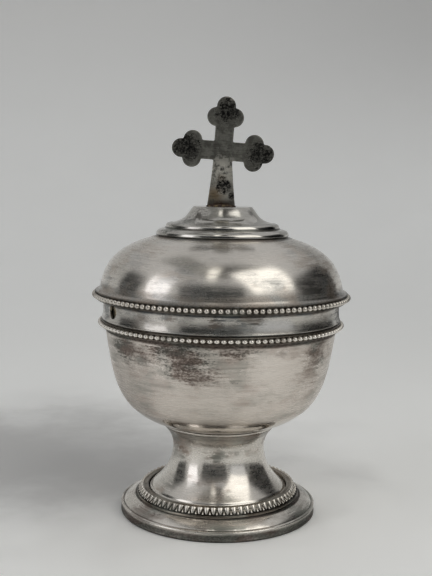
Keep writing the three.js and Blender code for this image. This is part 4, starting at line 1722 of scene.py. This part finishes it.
@dataclass
class StepMount:
    """The mount of the cross: two rounded steps and a hollow cone with a flat top."""

    mount: Extent = Extent.of("lid_pedestal")
    sheet: float = 0.8
    drop: float = 0.25  # how far below the frame's it reaches, down to the dome
    lower_width: float = 2.05
    lower_height: float = 1.7
    notch: float = 0.5
    upper_width: float = 0.6
    upper_height: float = 1.25
    top_radius: float = 7.96
    slot_width: float = 5.0
    slot_depth: float = 1.9
    slot_height: float = 3.0  # half of it above the top
    slot_shift: float = -0.5

    def build(self) -> None:
        """Turns the mount and cuts the slot for the tang."""
        low, top, radius = self.mount.bottom - self.drop, self.mount.top, self.mount.radius
        sheet, flat = self.sheet, self.top_radius
        lower_in = radius - self.lower_width
        lower_top = self.mount.bottom + self.lower_height
        upper_out = lower_in - self.notch
        upper_in = upper_out - self.upper_width
        upper_top = lower_top + self.upper_height
        outline = (
            Outline(radius - sheet, low)
            .line((radius - 0.1, low))
            .round((radius, low), (radius, low + 0.3))
            .bend((radius, low + 1.1), (lower_in + 1.2, lower_top - 0.3), (lower_in, lower_top - 0.15))
            .line((upper_out + 0.12, lower_top - 0.12))
            .round((upper_out, lower_top - 0.06), (upper_out, lower_top + 0.15))
            .round((upper_out - 0.02, upper_top - 0.02), (upper_in - 0.25, upper_top + 0.02))
            .bend((upper_in - 5.35, upper_top + 0.78), (flat + 2.05, top - 2.28), (flat, top - 0.08))
            .round((flat - 0.08, top), (flat - 0.25, top))
            .line((0, top), (0, top - sheet), (flat - 0.9, top - sheet))
            .bend((flat + 1.2, top - 3.1), (upper_in - 5, upper_top - 0.2), (upper_in - 0.8, upper_top - 0.9))
            .line((upper_in - 0.8, lower_top - sheet), (lower_in, lower_top - sheet - 0.1))
            .round((radius - sheet, lower_top - sheet - 0.1), (radius - sheet, low + 0.3))
        )
        mount = outline.turn("lid_step_mount", fineness=10)
        slot = add_new(
            bpy.ops.mesh.primitive_cube_add, size=1, location=(self.slot_shift * MM, 0, top * MM),
            scale=(self.slot_width * MM, self.slot_depth * MM, self.slot_height * MM),
        )
        settle_scaled(slot)
        carve(mount, slot)
        close_up(mount)
        finish = SilverPlate(
            "burnished_silver_mount",
            bright="#d2cfc9",
            gloss=0.09,
            dull=0.22,
            film="#77726b",
            film_start=0.42,
            film_end=0.74,
            film_share=0.55,
            haze=0.03,
            speckle=0.2,
            line_depth=0.003,
            smudges=(
                Smudge((-9.6, -7.2, 81.4), 4.6, 0.75, wide=1.2),
                Smudge((-13.5, -9, 79.6), 3.0, 0.45, wide=1.6),
            ),
            # Grime rings that also paint the shade at the mount's foot, in the notch under its upper step and
            # at the cone's foot
            seams=(
                Seam(radius, low, 0.35, 0.55),
                Seam(upper_out, lower_top, 0.4, 0.7),
                Seam(upper_in - 0.6, upper_top + 0.1, 1.0, 0.3),
            ),
        )
        present(mount, Body.LID, ("lid_pedestal",), [finish])


@dataclass
class BuddedCross:
    """The cross, sawn from plate with three round buds at each end of its head, and its solder."""

    mount: Extent = Extent.of("lid_pedestal")
    thickness: float = 1.3
    shift: float = -0.5
    shaft_lean: float = 1.1  # degrees, clockwise from the front
    head_lean: float = 3.6
    crossing: float = 14.5
    arm_width: float = 5.0
    foot_width: float = 7.5
    flare_share: float = 0.92  # of the shaft's length, over which it widens
    flare_curve: float = 1.35  # 1 would widen it evenly
    flare_cuts: int = 12
    bud_radius: float = 2.5
    side_reach: float = 11.2
    top_reach: float = 11.87
    setback: float = 2.95
    spread: float = 2.4
    tang_width: float = 4.4
    tang_length: float = 2.4
    voxel: float = 0.14
    solder_reach: float = 0.5  # how much wider than the foot the solder is
    solder_thickness: float = 1.2
    lump_size: float = 0.9
    lump_height: float = 0.4

    def build(self) -> None:
        """Builds the cross and the solder round its foot."""
        self.build_cross()
        self.build_solder()

    def foot(self) -> float:
        """Returns the height that the cross stands on, in mm."""
        return self.mount.top + SOLDER_GAP

    def head_place(self, along: float, across: float) -> Place:
        """Finds a place on the head.

        Args:
            along: Way along the upright from the crossing, in mm.
            across: Way out to the right, in mm.

        Returns:
            Its x and z, in mm.
        """
        shaft, head = math.radians(self.shaft_lean), math.radians(self.head_lean)
        x, z = self.shift + self.crossing * math.sin(shaft), self.foot() + self.crossing * math.cos(shaft)
        x = x + across * math.cos(head) + along * math.sin(head)
        z = z - across * math.sin(head) + along * math.cos(head)
        return x, z

    def buds(self) -> list[Place]:
        """Returns the middle of each bud on the plate."""
        pair = [(self.top_reach - self.setback, side * self.spread) for side in (-1, 1)]
        places = [(self.top_reach, 0.0), *pair]
        for side in (-1, 1):
            places.append((0.0, side * self.side_reach))
            places += [(up * self.spread, side * (self.side_reach - self.setback)) for up in (-1, 1)]
        return [self.head_place(*place) for place in places]

    def build_cross(self) -> None:
        """Joins discs and bars and melts them into one soft-edged plate."""
        blanks = [
            add_new(
                bpy.ops.mesh.primitive_cylinder_add, vertices=48, radius=self.bud_radius * MM,
                depth=self.thickness * MM, location=(x * MM, 0, z * MM), rotation=(math.pi / 2, 0, 0),
            )
            for x, z in self.buds()
        ]
        blanks.append(self.bar(self.top_reach / 2 - 1, 0, self.arm_width, self.top_reach + 2))
        blanks.append(self.bar(0, 0, self.side_reach * 2, self.arm_width))
        blanks.append(self.shaft())
        cross = join("finial_cross", blanks)
        settle_scaled(cross)
        melt = cross.modifiers.new("melt", "REMESH")
        melt.mode = "VOXEL"
        melt.voxel_size = self.voxel * MM
        soften = cross.modifiers.new("soften", "SMOOTH")
        soften.factor = 0.5
        soften.iterations = 6
        apply_all(cross)
        close_up(cross, 60)
        front, back = -self.thickness / 2, self.thickness / 2
        foot, shift = self.foot(), self.shift
        crusts = []
        for along, across, strength in (
            (self.top_reach - 1.2, 0.4, 0.85),
            (0.3, -self.side_reach + 1.6, 1.0),
            (-0.5, self.side_reach - 1.2, 0.95),
        ):
            x, z = self.head_place(along, across)
            crusts += [Smudge((x, side, z), 5.0, strength) for side in (front, back)]
        crusts += [
            Smudge((shift + 0.6, front, foot + 5.0), 2.7, 1.0),
            Smudge((shift + 0.2, front, foot + 9.7), 0.9, 0.9),
            Smudge((shift + 2.9, front, foot + 2.6), 1.4, 0.8),
            Smudge((shift, back, foot + 7), 2.6, 0.8),
        ]
        # A painted highlight at the top edge of the top bud, given as a rubbed spot
        glint = self.head_place(self.top_reach + 2.3, 0.9)
        finish = BlackenedPlate(
            "blackened_silver_cross",
            crusts=tuple(crusts),
            rubbed_and_glint=(
                Smudge((shift, front, foot + 9), 5.6, 0.9),
                Smudge((shift - 0.5, front, foot + 3.5), 4.6, 0.7),
                Smudge((glint[0], front, glint[1]), 1.9, 0.9),
            ),
            warm=(
                Smudge((shift - 1.6, front, foot + 2.8), 3.4, 0.8),
                Smudge((shift, front, foot + 7.4), 1.8, 0.5),
            ),
            burnt=(Smudge((shift, front, foot), 2.0, 0.95, wide=2.6),),
        )
        present(cross, Body.LID, ("cross",), [finish])

    def bar(self, along: float, across: float, width: float, length: float) -> Piece:
        """Adds a bar of the head.

        Args:
            along: Middle of the bar along the upright, in mm.
            across: Middle of the bar to the right, in mm.
            width: Its width, in mm.
            length: Its length along the upright, in mm.

        Returns:
            The bar.
        """
        x, z = self.head_place(along, across)
        return add_new(
            bpy.ops.mesh.primitive_cube_add, size=1, location=(x * MM, 0, z * MM),
            rotation=(0, math.radians(self.head_lean), 0),
            scale=(width * MM, self.thickness * MM, length * MM),
        )

    def flare(self, level: float) -> Point:
        """Works out how the shaft widens towards its foot.

        Args:
            level: Height above the foot, in mm.

        Returns:
            How much it grows along x, y and z.
        """
        spread = self.foot_width / self.arm_width - 1
        way_up = min(level / (self.crossing * self.flare_share), 1)
        return 1 + spread * (1 - way_up) ** self.flare_curve, 1, 1

    def shaft(self) -> Piece:
        """Shapes the flared shaft with its tang.

        Returns:
            The shaft.
        """
        foot, length = self.foot(), self.crossing
        shaft = add_new(bpy.ops.mesh.primitive_cube_add, size=1)
        shaft.scale = Vector((self.arm_width, self.thickness, length)) * MM
        settle_scaled(shaft)
        settle(shaft, move=(0, 0, length / 2))
        bpy.ops.object.mode_set(mode="EDIT")
        bpy.ops.mesh.select_all(action="SELECT")
        bpy.ops.mesh.subdivide(number_cuts=self.flare_cuts)
        bpy.ops.object.mode_set(mode="OBJECT")
        resize_rows(shaft, 2, self.flare)
        settle(shaft, turn=(0, math.radians(self.shaft_lean), 0), move=(self.shift, 0, foot))
        tang = add_new(
            bpy.ops.mesh.primitive_cube_add, size=1,
            location=(self.shift * MM, 0, (foot - self.tang_length / 2 + 0.5) * MM),
            scale=(self.tang_width * MM, self.thickness * MM, (self.tang_length + 1) * MM),
        )
        settle_scaled(tang)
        return join("shaft", [shaft, tang])

    def build_solder(self) -> None:
        """Models the lumpy fillet of solder round the foot of the cross."""
        solder = add_new(bpy.ops.mesh.primitive_uv_sphere_add, segments=48, ring_count=24, radius=0.5)
        high = self.solder_thickness
        solder.scale = Vector((self.foot_width + self.solder_reach, self.thickness + high, high)) * MM
        settle_scaled(solder)
        settle(solder, move=(self.shift, 0, self.mount.top + 0.05))
        thick = solder.modifiers.new("refine", "SUBSURF")
        thick.levels = thick.render_levels = 1
        lumps = bpy.data.textures.new("solder_lumps", "CLOUDS")
        lumps.noise_scale = self.lump_size * MM
        swell = solder.modifiers.new("lumps", "DISPLACE")
        swell.texture = lumps
        swell.texture_coords = "LOCAL"
        swell.strength = self.lump_height * MM
        swell.mid_level = 0.5
        apply_all(solder)
        close_up(solder, 60)
        solder.name = "cross_solder"
        present(solder, Body.LID, (), [SolderResidue("burnt_solder")])


# The studio


@dataclass(frozen=True)
class Screen:
    """A sheet that faces the object: a lit diffuser or a dark cloth."""

    azimuth: float  # degrees to the right of the camera, seen from the object
    elevation: float  # degrees
    width: float  # degrees
    height: float  # degrees
    sheet: SoftSheet
    distance: float = 520.0  # mm
    aim: float = 45.0  # mm, height on the object that it faces

    def build(self) -> None:
        """Sets up the screen, which the camera looks through."""
        rise, turn = math.radians(self.elevation), math.radians(self.azimuth)
        across, along = (
            2 * self.distance * math.tan(math.radians(size / 2)) for size in (self.width, self.height)
        )
        screen = add_new(bpy.ops.mesh.primitive_plane_add, size=1)
        screen.name = self.sheet.name
        screen.scale = Vector((across, along, 1)) * MM
        settle(screen, turn=(math.pi / 2, 0, 0), move=(0, -self.distance, 0))
        settle(screen, turn=(-rise, 0, 0))
        settle(screen, turn=(0, 0, turn), move=(0, 0, self.aim))
        screen.data.materials.append(self.sheet.material())
        screen.visible_camera = False
        screen.visible_shadow = False


@dataclass
class Studio:
    """A pale paper sweep all round, lit diffusers, dark cloths and the camera."""

    camera_back: float = 254.4  # mm in front of the axis
    camera_height: float = 92.0  # mm
    pitch: float = 6.821  # degrees down
    roll: float = 1.0  # degrees
    yaw: float = 0.326  # degrees
    focal_pixels: float = 940.9
    frame_height: float = 576.0  # pixels
    sensor: float = 36.0  # mm
    clip: Place = (0.005, 20)  # m, nearest and farthest that it sees
    sky: float = 0.48  # strength of the light from above the sweep
    floor_radius: float = 450  # mm, flat part of the sweep
    sweep_radius: float = 1350  # mm
    sweep_height: float = 800  # mm
    sweep_thickness: float = 50  # mm
    screens: tuple[Screen, ...] = (
        Screen(51, 44, 47, 52, SoftSheet("right_window", "#fffdf8", 1.6, 0.3)),
        Screen(-61, 20, 27, 46, SoftSheet("left_window", "#fbfbff", 1.5, 0.3), distance=420),
        Screen(-12, 61, 12, 44, SoftSheet("small_lamp", "#fffdf6", 1.4, 0.8), distance=460),
        Screen(-9, 14, 64, 52, SoftSheet("front_cloth", "#383d40", 0.0, 0.25)),
        Screen(16, 68, 56, 42, SoftSheet("high_cloth", "#7a7a79", 0.0, 0.45), distance=600),
        Screen(50, 0, 60, 30, SoftSheet("low_cloth", "#3d4147", 0.0, 0.4), distance=560),
        Screen(46, 12, 44, 24, SoftSheet("low_card", "#f6faff", 0.62, 0.45), distance=150, aim=15),
        Screen(104, 11, 66, 64, SoftSheet("right_cloth", "#121416", 0.0, 0.4)),
        Screen(-95, 12, 36, 54, SoftSheet("left_cloth", "#363a3b", 0.0, 0.5)),
        Screen(-76, 71, 60, 24, SoftSheet("left_high_cloth", "#c8c8c6", 0.0, 0.5)),
    )

    def build(self) -> None:
        """Builds the sweep, the screens, the sky and the camera."""
        self.build_sweep()
        for screen in self.screens:
            screen.build()
        self.build_world()
        self.build_camera()

    def build_sweep(self) -> None:
        """Turns the paper: flat in the middle and curved up all round."""
        floor, reach, height = self.floor_radius, self.sweep_radius, self.sweep_height
        under = -self.sweep_thickness
        sweep = (
            Outline(0, 0)
            .line((floor, 0))
            .bend((floor + 550, 0), (reach - 30, 220), (reach, height))
            .line((reach + self.sweep_thickness, height))
            .bend((reach + 20, 150), (floor + 550, under), (floor, under))
            .line((0, under))
        ).turn("paper_sweep", fineness=12, steps=96)
        sweep.data.materials.clear()
        sweep.data.materials.append(BackgroundPaper().material())

    def build_world(self) -> None:
        """Fills the room above the sweep with plain soft light."""
        world = bpy.data.worlds.new("plain_room")
        bpy.context.scene.world = world
        world.use_nodes = True
        world.node_tree.nodes.clear()
        light = add_node(world.node_tree, "Background", {"Color": (1, 1, 1, 1), "Strength": self.sky})
        add_node(world.node_tree, "OutputWorld", {"Surface": light})

    def build_camera(self) -> None:
        """Puts the camera where the photograph was taken from."""
        place = (0, -self.camera_back * MM, self.camera_height * MM)
        camera = add_new(bpy.ops.object.camera_add, location=place)
        aim = Euler((math.radians(90 - self.pitch), 0, math.radians(self.yaw))).to_matrix()
        camera.rotation_euler = (aim @ Matrix.Rotation(math.radians(self.roll), 3, "Z")).to_euler()
        camera.data.sensor_fit = "VERTICAL"
        camera.data.sensor_height = self.sensor
        camera.data.lens = self.focal_pixels / self.frame_height * self.sensor
        camera.data.clip_start, camera.data.clip_end = self.clip
        bpy.context.scene.camera = camera


def main() -> None:
    """Builds the ciborium and its studio, piece by piece."""
    logging.basicConfig(level=logging.INFO, format="%(name)s: %(message)s")
    bpy.context.scene.view_settings.view_transform = "Standard"
    for part in (Foot(), Stem(), Bowl(), Clamp(), Lid(), StepMount(), BuddedCross(), Studio()):
        log.info("building %s", type(part).__name__)
        part.build()


if __name__ == "__main__":
    main()
